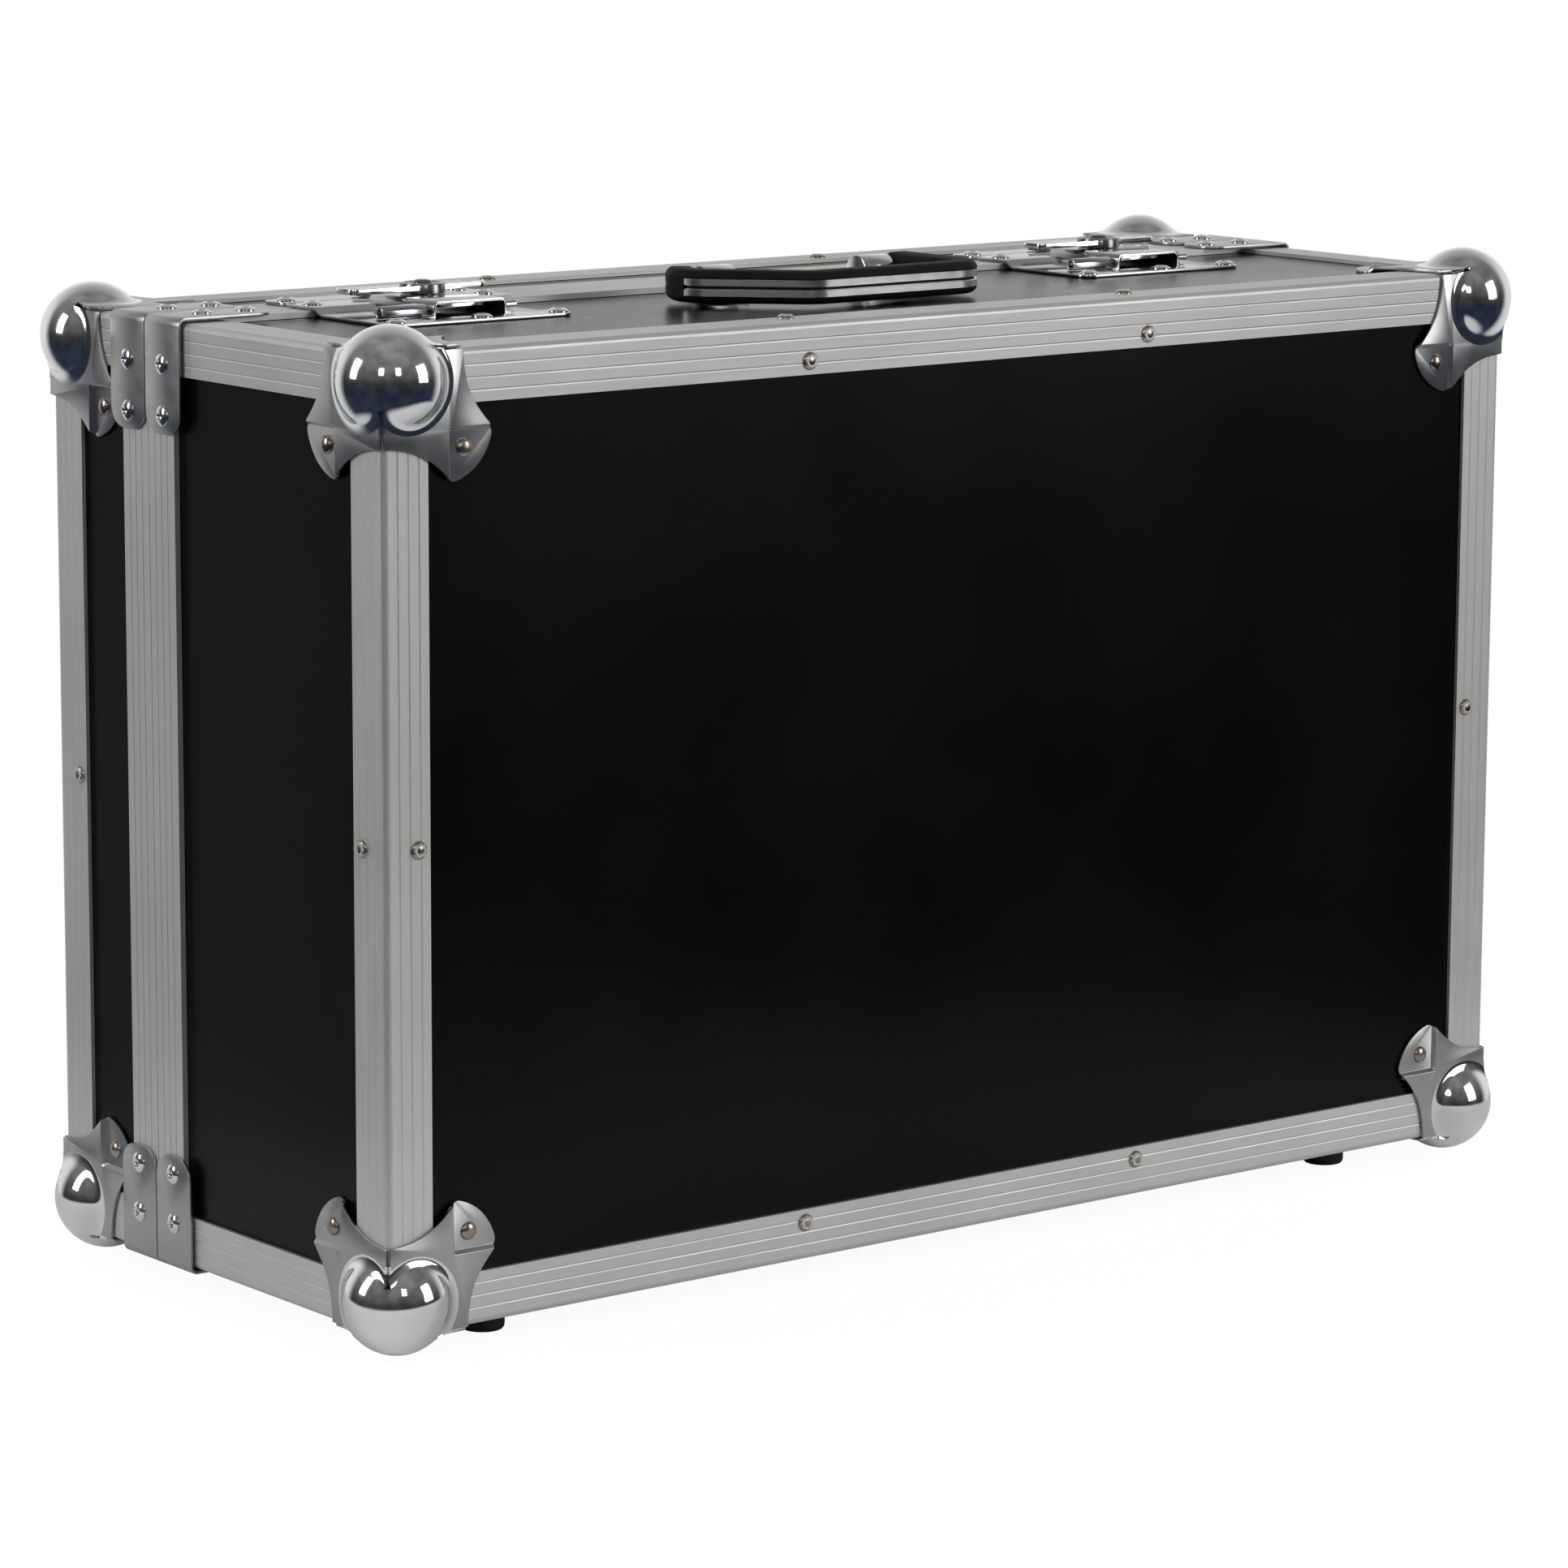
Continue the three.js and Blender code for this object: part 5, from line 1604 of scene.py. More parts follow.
@dataclass
class Latches:
    """Two twist latches: plate, housing, hook, wing and keeper."""

    finishes: Finishes
    rivets: Rivets
    spacing: float = 344 * MM
    half_width: float = 46 * MM
    right_ear: float = 40 * MM
    front_rivets: tuple[float, float, float] = (-39.5 * MM, 0.0, 35.5 * MM)
    front: float = -28 * MM
    front_radius: float = 6 * MM
    waist: float = 33 * MM
    waist_front: float = -12 * MM
    waist_back: float = 14 * MM
    ramp: tuple[float, float] = (19 * MM, 23.8 * MM)
    housing_half: float = 17 * MM
    housing: tuple[float, float] = (-14 * MM, 29 * MM)
    hook_lift: float = 0.4 * MM
    hook_thickness: float = 1.5 * MM
    hook_half: float = 10 * MM
    hook_tail: float = -8 * MM
    hook_over: float = 8 * MM
    claw: float = 1.7 * MM
    claw_steps: int = 12
    hub_y: float = 17.6 * MM
    hub: float = 8.8 * MM
    hub_height: float = 4 * MM
    wing_left: float = 37 * MM
    wing_right: float = 27 * MM
    wing_half: float = 6.5 * MM
    wing_thickness: float = 2.2 * MM
    wing_corner: float = 3.2 * MM
    wing_far_corner: float = 4.5 * MM
    wing_drop: float = 0.6 * MM
    wing_rim: float = 1.3 * MM
    wing_dish: float = 0.7 * MM
    rim_pick: float = 0.05 * MM
    hub_soften: float = 0.3 * MM
    hub_steps: int = 40
    hub_rim: tuple[tuple[float, float], ...] = (
        (0.0, 0.7 * MM), (0.25 * MM, 0.2 * MM), (0.9 * MM, 0.0), (1.8 * MM, 0.1 * MM), (2.6 * MM, 0.55 * MM),
    )
    hub_dome: tuple[tuple[float, float], ...] = (
        (3.9 * MM, -0.45 * MM), (3.6 * MM, 0.35 * MM), (3.0 * MM, 0.85 * MM), (1.8 * MM, 1.12 * MM),
        (0.0, 1.2 * MM),
    )
    axle: float = 4.6 * MM
    axle_lap: float = 0.3 * MM
    axle_steps: int = 24
    seam_gap: float = 0.6 * MM
    waist_fillet: float = 1 * MM
    waist_end: float = 120.0
    waist_steps: int = 5
    corner_steps: int = 8
    fillet_steps: int = 4
    soften: float = 0.3 * MM
    plate_angle: float = 25.0
    blade_angle: float = 35.0
    front_rivet_y: float = -21.7 * MM
    side_rivet_x: float = 40 * MM
    cover_brim: float = 3 * MM
    cover_brim_share: float = 0.7
    cover_root: float = 1.6 * MM
    cover_curve: float = 2.6 * MM
    cover_steps: int = 7
    cover_soften: float = 0.25 * MM
    stub_radius: float = 1.3 * MM
    stub_length: float = 6.6 * MM
    stub_soften: float = 0.4 * MM
    stub_steps: int = 16
    stub_lap: float = 0.6 * MM
    stub_from_front: float = 2.6 * MM
    roll_outer: float = 2.7 * MM
    roll_inner: float = 1.6 * MM
    roll_lift: float = 0.9
    roll_span: tuple[float, float] = (-60.0, 200.0)
    roll_steps: int = 14
    roll_from_front: float = 4.5 * MM
    roll_out: float = 22 * MM
    roll_length: float = 20.5 * MM
    roll_soften: float = 0.2 * MM
    claw_lap: float = 0.5 * MM
    hook_soften: float = 0.25 * MM
    keeper_corner: float = 4.5 * MM
    low: float = field(init=False)
    high: float = field(init=False)

    def __post_init__(self) -> None:
        """Works out the heights of the two levels of the plate."""
        self.low = CASE.top - CASE.panel_sink + CASE.seat
        self.high = CASE.top + CASE.frame_proud + CASE.seat

    @property
    def hook_low(self) -> float:
        """Underside of the hook."""
        return self.high + CASE.steel + self.hook_lift

    @property
    def roof_low(self) -> float:
        """Underside of the housing's roof."""
        return self.hook_low + self.hook_thickness + self.hook_lift

    @property
    def hub_low(self) -> float:
        """Underside of the wing's hub."""
        return self.roof_low + CASE.steel + CASE.seat

    def plate_outline(self) -> list[tuple[float, float]]:
        """The plate's outline, with its two front ears and its waist.

        Returns:
            The outline's points in plan.
        """
        w, r, steps = self.half_width, self.front_radius, self.corner_steps
        fillet = self.waist_fillet
        back = CASE.seam - self.seam_gap
        return [
            *arc((-w + r, self.front + r), r, 180, 270, steps),
            *arc((self.right_ear - r, self.front + r), r, 270, 360, steps),
            *arc((self.right_ear - r, self.waist_front - r), r, 0, 90, steps)[:-1],
            *arc((self.waist + fillet, self.waist_front + fillet), fillet, 270, 180, self.fillet_steps),
            *arc((self.waist + r, self.waist_back - r), r, 180, self.waist_end, self.waist_steps),
            (w, self.waist_back + r), (w, back), (-w, back),
        ]

    def plate(self) -> bpy.types.Object:
        """The base plate, pressed up on to the split frame, with its housing and rivets.

        Returns:
            The plate and all that is fixed to it.
        """
        obj = Workshop.outline([Vector((x, y, self.low + CASE.steel)) for x, y in self.plate_outline()])
        for y in self.ramp:
            Workshop.edit(obj)
            bpy.ops.mesh.bisect(plane_co=(0, y, 0), plane_no=(0, 1, 0))
            bpy.ops.object.mode_set(mode="OBJECT")
        Workshop.edit(obj)
        Workshop.pick(obj, lambda p: p.y > self.ramp[1] - PICK, "VERT")
        bpy.ops.transform.translate(value=(0, 0, self.high - self.low))
        bpy.ops.object.mode_set(mode="OBJECT")
        if obj.data.polygons[0].normal.z < 0:
            obj.data.flip_normals()
        Workshop.solidify(obj, CASE.steel)
        Workshop.bevel(obj, self.soften, self.plate_angle)
        parts = [obj, self.cover(), self.stub(), self.roll()]
        for part in parts:
            Workshop.dress(part, self.finishes.latch)
        head = self.rivets.pop()
        side_y = CASE.seam - CASE.frame_width / 2
        places = [Vector((x, self.front_rivet_y, self.low + CASE.steel)) for x in self.front_rivets]
        places += [Vector((s * self.side_rivet_x, side_y, self.high + CASE.steel)) for s in (-1, 1)]
        heads = self.rivets.row(head, places, Vector((0, 0, 1)))
        Workshop.discard(head)
        return Workshop.join([*parts, *heads])

    def cover(self) -> bpy.types.Object:
        """The arched housing that guides the hook, open at its front and back.

        Returns:
            The housing.
        """
        w, t = self.housing_half, CASE.steel
        root, curve = self.cover_root, self.cover_curve
        low_steps, high_steps = self.fillet_steps, self.cover_steps
        top = self.roof_low + t
        base = self.low + t / 2
        brim, brim_top = w + self.cover_brim, base + t * self.cover_brim_share
        profile = [
            (-brim, base), (-brim, brim_top),
            *arc((-w - root, brim_top + root), root, 270, 360, low_steps),
            *arc((-w + curve, top - curve), curve, 180, 90, high_steps),
            *arc((w - curve, top - curve), curve, 90, 0, high_steps),
            *arc((w + root, brim_top + root), root, 180, 270, low_steps),
            (brim, brim_top), (brim, base), (w - t, base),
            *arc((w - curve, top - curve), curve - t, 0, 90, high_steps),
            *arc((-w + curve, top - curve), curve - t, 90, 180, high_steps),
            (-w + t, base),
        ]
        ring = [Vector((x, self.housing[0], z)) for x, z in profile]
        return Workshop.slab(ring, Vector((0, self.housing[1] - self.housing[0], 0)), self.cover_soften)

    def stub(self) -> bpy.types.Object:
        """The end of the cross pin that shows at the housing's right side.

        Returns:
            The pin's end.
        """
        radius, length, soft = self.stub_radius, self.stub_length, self.stub_soften
        profile = [(0, 0), (radius, 0), (radius, length - soft), (radius - soft, length), (0, length)]
        obj = Workshop.turned(profile, self.stub_steps)
        z = (self.low + CASE.steel + self.roof_low + CASE.steel) / 2
        place = Vector((self.housing_half - self.stub_lap, self.housing[0] + self.stub_from_front, z))
        obj.data.transform(lying_along_x(place))
        return obj

    def roll(self) -> bpy.types.Object:
        """The rolled ear of the plate at the housing's left side.

        Returns:
            The roll.
        """
        outer, inner = self.roll_outer, self.roll_inner
        first, last = self.roll_span
        centre = (self.housing[0] + self.roll_from_front, self.low + CASE.steel + outer * self.roll_lift)
        profile = arc(centre, outer, first, last, self.roll_steps)
        profile += arc(centre, inner, last, first, self.roll_steps)
        ring = [Vector((-self.housing_half - self.roll_out, y, z)) for y, z in profile]
        return Workshop.slab(ring, Vector((self.roll_length, 0, 0)), self.roll_soften)

    def hook(self) -> bpy.types.Object:
        """The sliding hook with its rolled claw.

        Returns:
            The hook.
        """
        w, tip, t = self.hook_half, CASE.seam + self.hook_over, self.hook_thickness
        low = self.hook_low
        curl = [
            (self.hook_tail, low), (tip, low),
            *arc((tip, low + self.claw), self.claw, -90, 180, self.claw_steps)[1:],
            (tip - self.claw + self.claw_lap, low + t), (self.hook_tail, low + t),
        ]
        ring = [Vector((-w, y, z)) for y, z in curl]
        obj = Workshop.slab(ring, Vector((w * 2, 0, 0)), self.hook_soften)
        return Workshop.dress(obj, self.finishes.chrome)

    def hub_profile(self) -> list[tuple[float, float]]:
        """The dished hub's section.

        Returns:
            Pairs of a radius and a height, from the axis below to the axis above.
        """
        low, soft, r = self.hub_low, self.hub_soften, self.hub
        high = low + self.hub_height
        return [
            (0, low), (r - soft, low), (r, low + soft),
            *[(r - inwards, high - down) for inwards, down in self.hub_rim],
            *[(radius, high + up) for radius, up in self.hub_dome],
        ]

    def blade(self) -> bpy.types.Object:
        """The two flat arms of the wing, with raised rims.

        Returns:
            The arms in one piece.
        """
        high = self.hub_low + self.hub_height - self.wing_drop
        h, near, far = self.wing_half, self.wing_corner, self.wing_far_corner
        left, right, y = -self.wing_left, self.wing_right, self.hub_y
        outline = [
            *arc((left + near, y + h - near), near, 90, 180, CORNER_STEPS),
            *arc((left + near, y - h + near), near, 180, 270, CORNER_STEPS),
            *arc((right - far, y - h + far), far, 270, 360, CORNER_STEPS),
            *arc((right - far, y + h - far), far, 0, 90, CORNER_STEPS),
        ]
        ring = [Vector((x, y, high - self.wing_thickness)) for x, y in outline]
        obj = Workshop.slab(ring, Vector((0, 0, self.wing_thickness)))
        Workshop.edit(obj)
        Workshop.pick(obj, lambda p: p.z > high - self.rim_pick)
        bpy.ops.mesh.inset(thickness=self.wing_rim)
        bpy.ops.transform.translate(value=(0, 0, -self.wing_dish))
        bpy.ops.object.mode_set(mode="OBJECT")
        Workshop.bevel(obj, self.soften, self.blade_angle)
        return obj

    def wing(self) -> bpy.types.Object:
        """The twist wing: a dished hub, its two arms and the axle under it.

        Returns:
            The wing.
        """
        hub = Workshop.turned(self.hub_profile(), self.hub_steps)
        low = self.roof_low - self.hook_lift + CASE.seat
        top = self.hub_low + self.axle_lap
        section = [(0, low), (self.axle, low), (self.axle, top), (0, top)]
        stub = Workshop.turned(section, self.axle_steps)
        for part in (hub, stub):
            part.data.transform(Matrix.Translation((0, self.hub_y, 0)))
        blade = self.blade()
        Workshop.dress(hub, self.finishes.hub)
        Workshop.dress(blade, self.finishes.chrome)
        Workshop.dress(stub, self.finishes.latch)
        return Workshop.join([hub, blade, stub])

    def keeper(self) -> bpy.types.Object:
        """The keeper plate on the lid, with its rivets.

        Returns:
            The keeper.
        """
        front, back = CASE.seam + self.seam_gap, CASE.seam + CASE.frame_width
        outline = rounded_rectangle(-self.half_width, self.half_width, front, back, self.keeper_corner)
        corners = [Vector((x, y, self.high)) for x, y in outline]
        plate = Workshop.slab(corners, Vector((0, 0, CASE.steel)), self.soften)
        Workshop.dress(plate, self.finishes.latch)
        head = self.rivets.pop()
        y, z = (front + back) / 2, self.high + CASE.steel
        places = [Vector((s * self.side_rivet_x, y, z)) for s in (-1, 1)]
        heads = self.rivets.row(head, places, Vector((0, 0, 1)))
        Workshop.discard(head)
        return Workshop.join([plate, *heads])

    def build(self) -> None:
        """Makes each part once and copies it to both latches."""
        patterns = [
            (self.plate(), "latch_plate", "base"), (self.hook(), "latch_hook", "hook"),
            (self.wing(), "latch_wing", "wing"), (self.keeper(), "latch_keeper", "lid"),
        ]
        for shape, word, body in patterns:
            for side in Side:
                node = f"{side.word}_{word}"
                rides = body if body in ("base", "lid") else f"{side.word}_{body}"
                twin = Workshop.copy(shape, Matrix.Translation((side.sign * self.spacing / 2, 0, 0)))
                Workshop.hand_over(twin, f"{node}_steel", rides, "chromed_steel", node)
            Workshop.discard(shape)


@dataclass
class Hinges:
    """Two butt hinges under the split frames."""

    finishes: Finishes
    rivets: Rivets
    spacing: float = 300 * MM
    length: float = 56 * MM
    leaf: float = 16 * MM
    sheet: float = 1.5 * MM
    drop: float = 4.4 * MM
    knuckle: float = 3.2 * MM
    bore: float = 1.85 * MM
    pin: float = 1.5 * MM
    middle_share: float = 0.3
    gap: float = 0.4 * MM
    relief: float = 3.9 * MM
    knuckle_soften: float = 0.3 * MM
    around: int = 28
    leaf_corner: float = 2.5 * MM
    leaf_soften: float = 0.25 * MM
    tab_lap: float = 3 * MM
    tab_soften: float = 0.2 * MM
    rivet_row_share: float = 0.6
    rivet_shares: tuple[float, ...] = (-0.36, 0, 0.36)

    def knuckles(self, x0: float, x1: float, hole: bool) -> bpy.types.Object:
        """A rolled barrel between two places.

        Args:
            x0: its left end.
            x1: its right end.
            hole: whether it is bored for the pin.

        Returns:
            The barrel.
        """
        soft = self.knuckle_soften
        length = x1 - x0
        r = self.knuckle
        outer = [(r - soft, 0), (r, soft), (r, length - soft), (r - soft, length)]
        if hole:
            profile = [(self.bore, 0), *outer, (self.bore, length), (self.bore, 0)]
        else:
            profile = [(0, 0), *outer, (0, length)]
        obj = Workshop.turned(profile, self.around)
        obj.data.transform(lying_along_x(Vector((x0, CASE.seam, CASE.bottom - self.drop))))
        return obj

    def leaf_plate(self, sign: int, spans: Sequence[tuple[float, float]]) -> list[bpy.types.Object]:
        """The flat leaf and the tabs that join it to its knuckles.

        Args:
            sign: the sign of Y from the seam to the leaf.
            spans: the ends of each knuckle along X.

        Returns:
            The leaf and its tabs.
        """
        high = CASE.bottom - CASE.frame_proud - CASE.seat
        near, far = CASE.seam + sign * self.relief, CASE.seam + sign * self.leaf
        half = self.length / 2
        outline = rounded_rectangle(-half, half, min(near, far), max(near, far), self.leaf_corner)
        down = Vector((0, 0, -self.sheet))
        parts = [Workshop.slab([Vector((x, y, high)) for x, y in outline], down, self.leaf_soften)]
        reach = CASE.seam + sign * (self.relief + self.tab_lap)
        y0, y1 = min(CASE.seam, reach), max(CASE.seam, reach)
        for x0, x1 in spans:
            tab = [Vector((x, y, high)) for x, y in ((x0, y0), (x1, y0), (x1, y1), (x0, y1))]
            parts.append(Workshop.slab(tab, down, self.tab_soften))
        return parts

    def heads(self, sign: int) -> list[bpy.types.Object]:
        """Rivets through one leaf.

        Args:
            sign: the sign of Y from the seam to the leaf.

        Returns:
            The heads.
        """
        head = self.rivets.pop()
        z = CASE.bottom - CASE.frame_proud - CASE.seat - self.sheet
        y = CASE.seam + sign * self.leaf * self.rivet_row_share
        places = [Vector((share * self.length, y, z)) for share in self.rivet_shares]
        made = self.rivets.row(head, places, Vector((0, 0, -1)))
        Workshop.discard(head)
        return made

    def build(self) -> None:
        """Makes the two leaves once and copies them to both hinges."""
        half = self.length / 2
        inner = self.length * self.middle_share / 2
        outer = inner + self.gap
        spans = [(-half, -outer), (outer, half)]
        pin = self.knuckles(-half, half, False)
        shrink = self.pin / self.knuckle
        centre = Vector((0, CASE.seam, CASE.bottom - self.drop))
        thinner = Matrix.Diagonal((1, shrink, shrink, 1))
        pin.data.transform(Matrix.Translation(centre) @ thinner @ Matrix.Translation(-centre))
        barrels = [self.knuckles(a, b, True) for a, b in spans]
        base = Workshop.join([*self.leaf_plate(-1, spans), *barrels, pin])
        lid = Workshop.join([*self.leaf_plate(1, [(-inner, inner)]), self.knuckles(-inner, inner, True)])
        patterns = []
        for shape, sign, body in ((base, -1, "base"), (lid, 1, "lid")):
            Workshop.dress(shape, self.finishes.plated)
            patterns.append((Workshop.join([shape, *self.heads(sign)]), body))
        for shape, body in patterns:
            for side in Side:
                node = f"{side.word}_hinge_{body}_leaf"
                twin = Workshop.copy(shape, Matrix.Translation((side.sign * self.spacing / 2, 0, 0)))
                Workshop.hand_over(twin, f"{node}_steel", body, "chromed_steel", node)
            Workshop.discard(shape)


@dataclass
class Feet:
    """Four turned rubber feet with a screw recess."""

    finishes: Finishes
    radius: float = 8.5 * MM
    spacing: float = 434 * MM
    height: float = 13.1 * MM
    recess: tuple[tuple[float, float], ...] = (
        (0.0, 2.6 * MM), (2.6 * MM, 2.6 * MM), (3.0 * MM, 2.2 * MM), (3.2 * MM, 0.4 * MM), (3.7 * MM, 0.0),
    )
    rim: tuple[tuple[float, float], ...] = (
        (1.6 * MM, 0.0), (0.8 * MM, 0.2 * MM), (0.2 * MM, 0.9 * MM), (0.0, 1.8 * MM),
    )
    front_inset: float = 29.5 * MM
    rear_y: float = 75.85 * MM
    around: int = 40

    def build(self) -> None:
        """Turns one foot and copies it to its four places."""
        r, h = self.radius, self.height
        rim = [(r - inwards, up) for inwards, up in self.rim]
        shape = Workshop.turned([*self.recess, *rim, (r, h), (0, h)], self.around)
        Workshop.dress(shape, self.finishes.rubber)
        for body, word, y in [("base", "front", CASE.front + self.front_inset), ("lid", "rear", self.rear_y)]:
            for side in Side:
                node = f"{word}_{side.word}_foot"
                twin = Workshop.copy(shape, Matrix.Translation((side.sign * self.spacing / 2, y, 0)))
                Workshop.hand_over(twin, f"{node}_rubber", body, "black_rubber", node)
        Workshop.discard(shape)


@dataclass
class Linings:
    """Foam trays that line the two halves."""

    finishes: Finishes
    sheet: float = 5 * MM
    soft: float = 1.6 * MM
    soft_angle: float = 60.0
    soft_steps: int = 4

    def build(self) -> None:
        """Makes the tray of each half from a box opened at its mouth."""
        for body, mouth in (("base", 1), ("lid", -1)):
            node = f"{body}_lining"
            low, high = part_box(node)
            Workshop.clear()
            bpy.ops.mesh.primitive_cube_add(size=1)
            obj = bpy.context.active_object
            size = Vector(high) - Vector(low)
            middle = (Vector(high) + Vector(low)) / 2
            obj.data.transform(Matrix.Translation(middle) @ Matrix.Diagonal((*size, 1)))
            Workshop.edit(obj)
            edge = high[1] if mouth > 0 else low[1]
            Workshop.pick(obj, lambda p, e=edge: abs(p.y - e) < PICK)
            bpy.ops.mesh.delete(type="FACE")
            bpy.ops.mesh.select_all(action="SELECT")
            bpy.ops.object.mode_set(mode="OBJECT")
            Workshop.solidify(obj, self.sheet)
            Workshop.bevel(obj, self.soft, self.soft_angle, self.soft_steps)
            Workshop.dress(obj, self.finishes.foam)
            Workshop.hand_over(obj, f"{node}_foam", body, "foam_lining", node)


@dataclass(frozen=True)
class Lamp:
    """A soft rectangular lamp that looks at the middle of the case."""

    name: str
    place: tuple[float, float, float]
    size: tuple[float, float]
    power: float
    mirrored: bool = True
    aim: tuple[float, float, float] = (0.0, 0.0, 0.19)

    def hang(self) -> None:
        """Adds the lamp to the scene."""
        data = bpy.data.lights.new(self.name, "AREA")
        data.shape = "RECTANGLE"
        data.size, data.size_y = self.size
        data.energy = self.power
        lamp = bpy.data.objects.new(self.name, data)
        bpy.context.scene.collection.objects.link(lamp)
        lamp.visible_glossy = self.mirrored
        way = Vector(self.aim) - Vector(self.place)
        turn = way.to_track_quat("-Z", "Y").to_matrix().to_4x4()
        lamp.matrix_world = Matrix.Translation(self.place) @ turn


@dataclass
class Surroundings:
    """White to the camera. Bright metal sees a white backdrop, and a dim room round the camera.

    The stops give a colour by height, from straight down at 0 to straight up at 1.
    """

    forward: tuple[float, float, float]
    backdrop: Stops = (
        (0.0, 0.50, 0.50, 0.50),
        (0.5, 0.85, 0.85, 0.85),
        (0.65, 0.85, 0.85, 0.85),
        (0.8, 0.55, 0.55, 0.55),
        (1.0, 0.28, 0.28, 0.28),
    )
    room: Stops = (
        (0.0, 0.024, 0.032, 0.052),
        (0.36, 0.028, 0.036, 0.056),
        (0.5, 0.05, 0.048, 0.05),
        (0.6, 0.11, 0.107, 0.104),
        (0.75, 0.17, 0.17, 0.17),
        (1.0, 0.28, 0.28, 0.28),
    )
    room_edge: tuple[float, float] = (0.2, 0.6)
    patch_scale: float = 2.2
    patch_middle: tuple[float, float] = (0.35, 0.65)
    patch_range: tuple[float, float] = (0.7, 1.2)

    def patchy(
        self, bench: NodeBench, place: Socket, colour: Socket,
    ) -> Socket:
        """Makes a colour lighter and darker in soft patches.

        Args:
            bench: the world's nodes.
            place: the direction's socket.
            colour: the colour's socket.

        Returns:
            The patchy colour's socket.
        """
        patches = bench.add("ShaderNodeTexNoise")
        patches.inputs["Scale"].default_value = self.patch_scale
        patches.inputs["Detail"].default_value = 1
        bench.link(place, patches.inputs["Vector"])
        strength = bench.mapped(patches.outputs["Fac"], self.patch_middle, self.patch_range)
        scaled = bench.add("ShaderNodeVectorMath", operation="SCALE")
        bench.link(colour, scaled.inputs[0])
        bench.link(strength, scaled.inputs["Scale"])
        return scaled.outputs[0]

    def ahead(self, bench: NodeBench, place: Socket) -> Socket:
        """Tells the backdrop from the room.

        Args:
            bench: the world's nodes.
            place: the direction's socket.

        Returns:
            A value that is 1 towards the backdrop and 0 towards the room.
        """
        level = Vector((*self.forward[:2], 0)).normalized()
        dot = bench.add("ShaderNodeVectorMath", operation="DOT_PRODUCT")
        dot.inputs[1].default_value = level
        bench.link(place, dot.inputs[0])
        return bench.mapped(dot.outputs["Value"], self.room_edge, smooth=True)

    def mirrored(self, bench: NodeBench) -> Socket:
        """Colours what bright metal sees.

        Args:
            bench: the world's nodes.

        Returns:
            The colour's socket.
        """
        place = bench.add("ShaderNodeTexCoord").outputs["Generated"]
        apart = bench.add("ShaderNodeSeparateXYZ")
        bench.link(place, apart.inputs[0])
        height = bench.mapped(apart.outputs["Z"], (-1, 1))
        both = bench.add("ShaderNodeMix", data_type="RGBA")
        bench.link(self.ahead(bench, place), both.inputs["Factor"])
        bench.link(self.patchy(bench, place, bench.ramp(height, self.room)), both.inputs[MIX_FIRST])
        bench.link(bench.ramp(height, self.backdrop), both.inputs[MIX_SECOND])
        return both.outputs[MIX_RESULT]

    def build(self) -> None:
        """Wires the world."""
        world = bpy.data.worlds.new("studio")
        bpy.context.scene.world = world
        world.use_nodes = True
        bench = NodeBench(world.node_tree)
        room = bench.add("ShaderNodeBackground")
        bench.link(self.mirrored(bench), room.inputs["Color"])
        white = bench.add("ShaderNodeBackground")
        white.inputs["Color"].default_value = (1, 1, 1, 1)
        path = bench.add("ShaderNodeLightPath")
        mix = bench.add("ShaderNodeMixShader")
        output = bench.add("ShaderNodeOutputWorld")
        bench.link(path.outputs["Is Camera Ray"], mix.inputs["Fac"])
        bench.link(room.outputs["Background"], mix.inputs[1])
        bench.link(white.outputs["Background"], mix.inputs[2])
        bench.link(mix.outputs["Shader"], output.inputs["Surface"])


@dataclass
class Floor:
    """A pale round floor that keeps the case's shadow and fades out into the white."""

    radius: float = 1.3
    sides: int = 96
    fade: tuple[float, float] = (0.5, 1.1)
    see_through: float = 0.9
    mirrored_table: tuple[float, float] = (0.42, 0.56)
    glow: float = 0.5
    colour: Colour = (0.9, 0.9, 0.9)
    roughness: float = 0.9
    level: float = 0.1

    def material(self) -> bpy.types.Material:
        """Wires the floor, see-through to the camera and out of bright metal's sight far out.

        Returns:
            The material.
        """
        shader = Shader("pale_floor", Roughness=self.roughness, Specular_IOR_Level=self.level)
        shader.surface.inputs["Base Color"].default_value = (*self.colour, 1)
        shader.surface.inputs["Emission Color"].default_value = (1, 1, 1, 1)
        path = shader.add("ShaderNodeLightPath")
        camera, glossy = path.outputs["Is Camera Ray"], path.outputs["Is Glossy Ray"]
        out = shader.add("ShaderNodeVectorMath", operation="LENGTH")
        shader.link(shader.place, out.inputs[0])
        distance = out.outputs["Value"]
        seen = shader.maths("MULTIPLY", camera, self.see_through)
        mirrored = shader.maths("MULTIPLY", glossy, shader.mapped(distance, self.mirrored_table, smooth=True))
        near = shader.maths("MAXIMUM", seen, mirrored)
        share = shader.maths("MAXIMUM", near, shader.mapped(distance, self.fade, smooth=True))
        shader.feed("Emission Strength", shader.maths("MULTIPLY", camera, self.glow))
        clear = shader.add("ShaderNodeBsdfTransparent")
        mix = shader.add("ShaderNodeMixShader")
        shader.link(share, mix.inputs["Fac"])
        shader.link(shader.surface.outputs["BSDF"], mix.inputs[1])
        shader.link(clear.outputs["BSDF"], mix.inputs[2])
        shader.link(mix.outputs["Shader"], shader.output.inputs["Surface"])
        return shader.material

    def build(self) -> None:
        """Lays the floor."""
        Workshop.clear()
        bpy.ops.mesh.primitive_circle_add(vertices=self.sides, radius=self.radius, fill_type="NGON")
        floor = bpy.context.active_object
        floor.name = "studio_floor"
        Workshop.dress(floor, self.material())


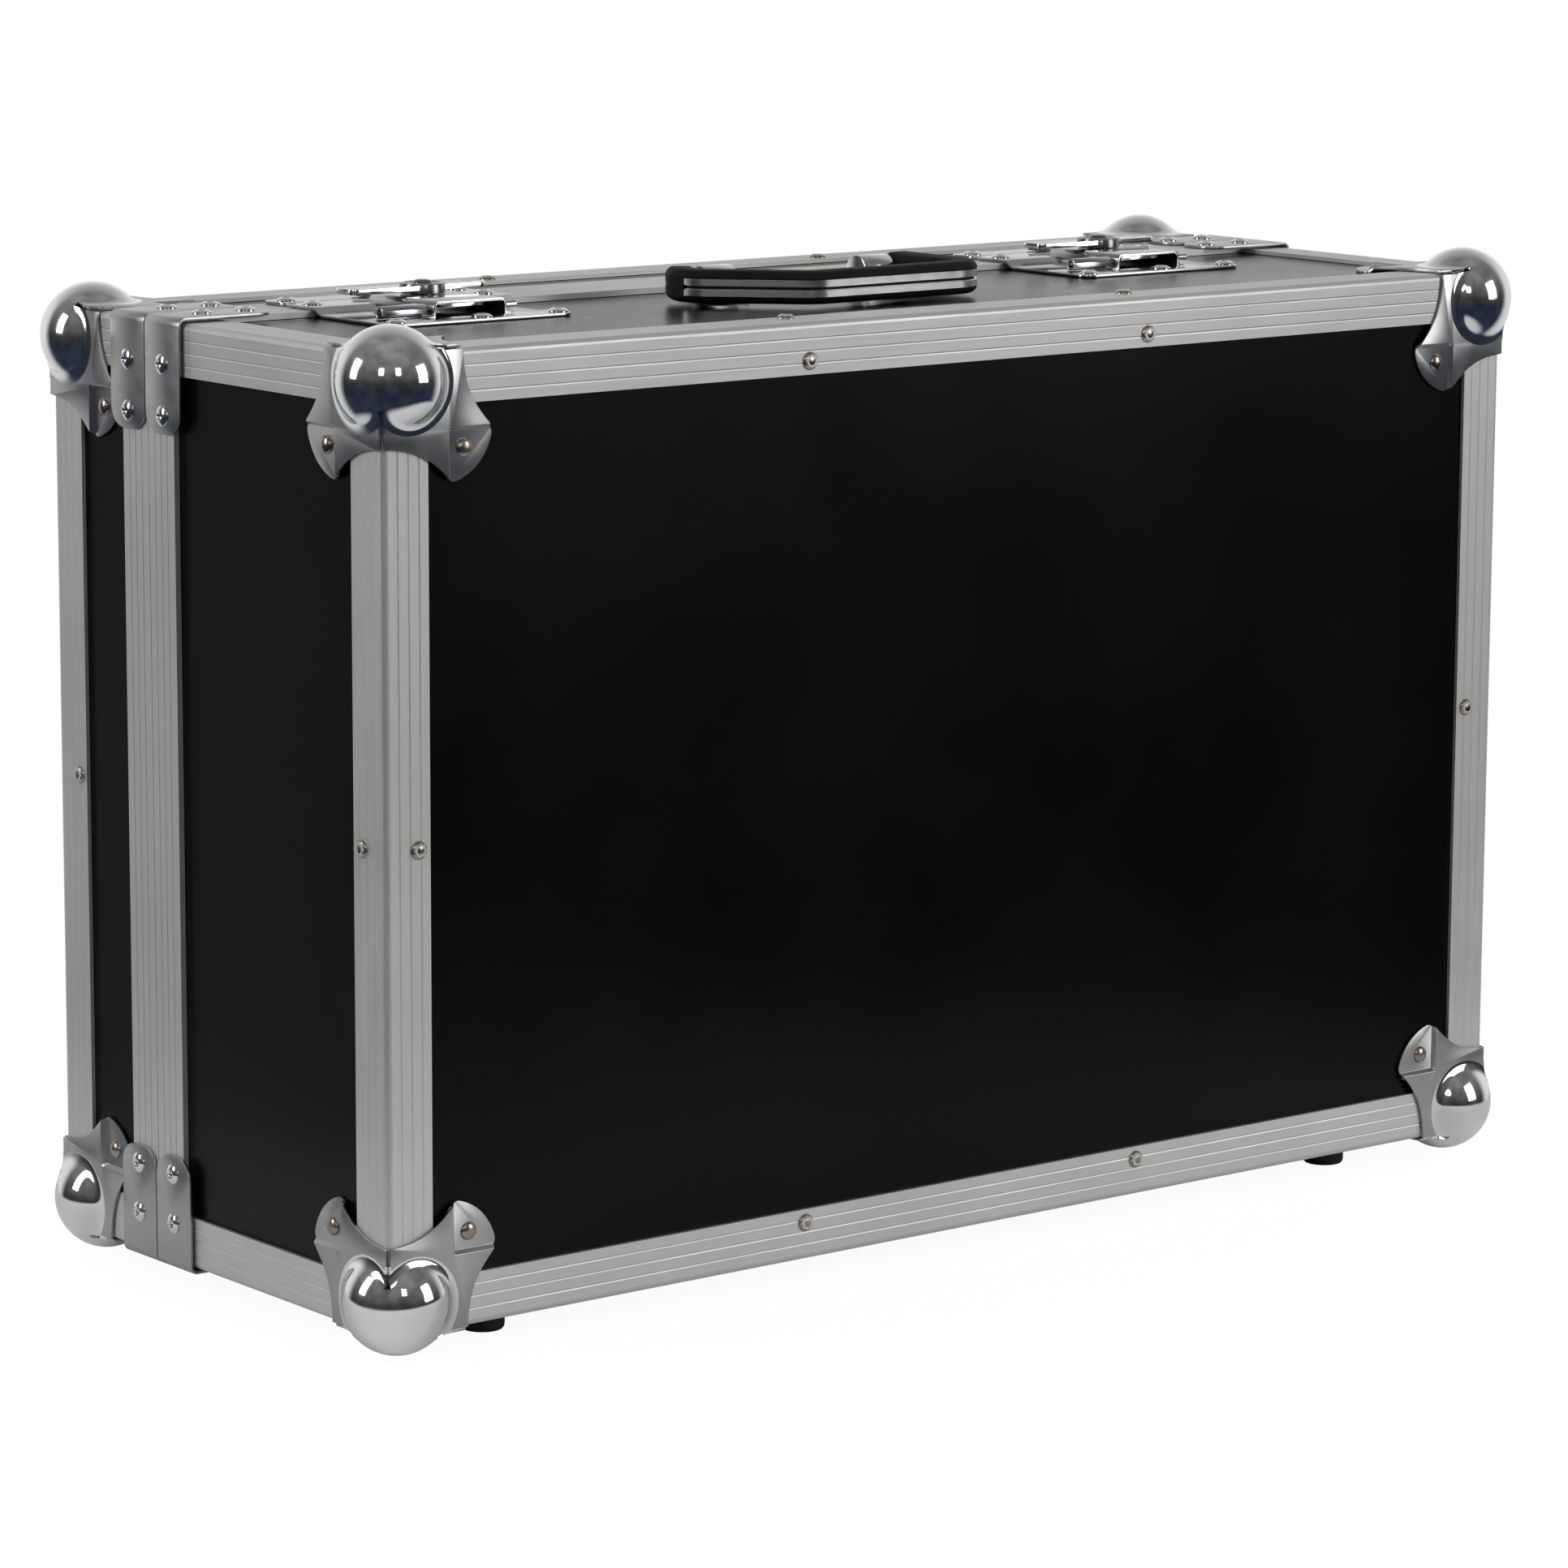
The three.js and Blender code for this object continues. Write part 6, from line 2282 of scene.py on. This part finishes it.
@dataclass
class Studio:
    """Camera, floor, lamps and surroundings."""

    place: tuple[float, float, float] = (-1.48465, -1.86532, 0.59927)
    right: tuple[float, float, float] = (0.784600, -0.619986, 0.004431)
    up: tuple[float, float, float] = (0.105708, 0.140809, 0.984377)
    forward: tuple[float, float, float] = (0.610924, 0.771875, -0.176016)
    lens: float = 137.48
    sensor: float = 36.0
    clip: tuple[float, float] = (0.05, 50.0)
    lamps: tuple[Lamp, ...] = (
        Lamp("right_softbox", place=(2.2, -3.16, 1.27), size=(1.5, 2.1), power=43),
        Lamp("left_softbox", place=(-2.1, 0.8, 1.1), size=(0.6, 1.2), power=17),
        Lamp("front_softbox", place=(0.5, -2.2, 1.9), size=(1.4, 1.0), power=14, mirrored=False),
        Lamp("overhead_softbox", place=(0.1, 0.2, 2.4), size=(1.8, 1.2), power=8, mirrored=False),
        Lamp("left_window", place=(-2.1, -1.5, 1.35), size=(0.4, 0.6), power=5),
        Lamp("right_window", place=(-0.9, -2.3, 1.35), size=(0.4, 0.6), power=5),
    )

    def camera(self) -> None:
        """Sets the camera where the photograph was taken from."""
        data = bpy.data.cameras.new("camera")
        data.lens = self.lens
        data.sensor_width = self.sensor
        data.clip_start, data.clip_end = self.clip
        camera = bpy.data.objects.new("camera", data)
        bpy.context.scene.collection.objects.link(camera)
        back = -Vector(self.forward)
        camera.matrix_world = frame_matrix(Vector(self.place), Vector(self.right), Vector(self.up), back)
        bpy.context.scene.camera = camera

    def build(self) -> None:
        """Sets up the whole studio."""
        self.camera()
        Floor().build()
        Surroundings(self.forward).build()
        for lamp in self.lamps:
            lamp.hang()
        bpy.context.scene.view_settings.view_transform = "Standard"
        LOG.info("set up the studio")


def main() -> None:
    """Builds the case piece by piece."""
    logging.basicConfig(level=logging.INFO, format="%(name)s: %(message)s")
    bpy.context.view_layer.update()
    Studio().build()
    finishes = Finishes()
    rivets = Rivets(finishes)
    Shell(finishes).dress()
    AngleRivets(rivets).build()
    BallCorners(finishes, rivets).build()
    Braces(finishes, rivets).build()
    Handle(finishes, rivets).build()
    Latches(finishes, rivets).build()
    Hinges(finishes, rivets).build()
    Feet(finishes).build()
    Linings(finishes).build()


if __name__ == "__main__":
    main()
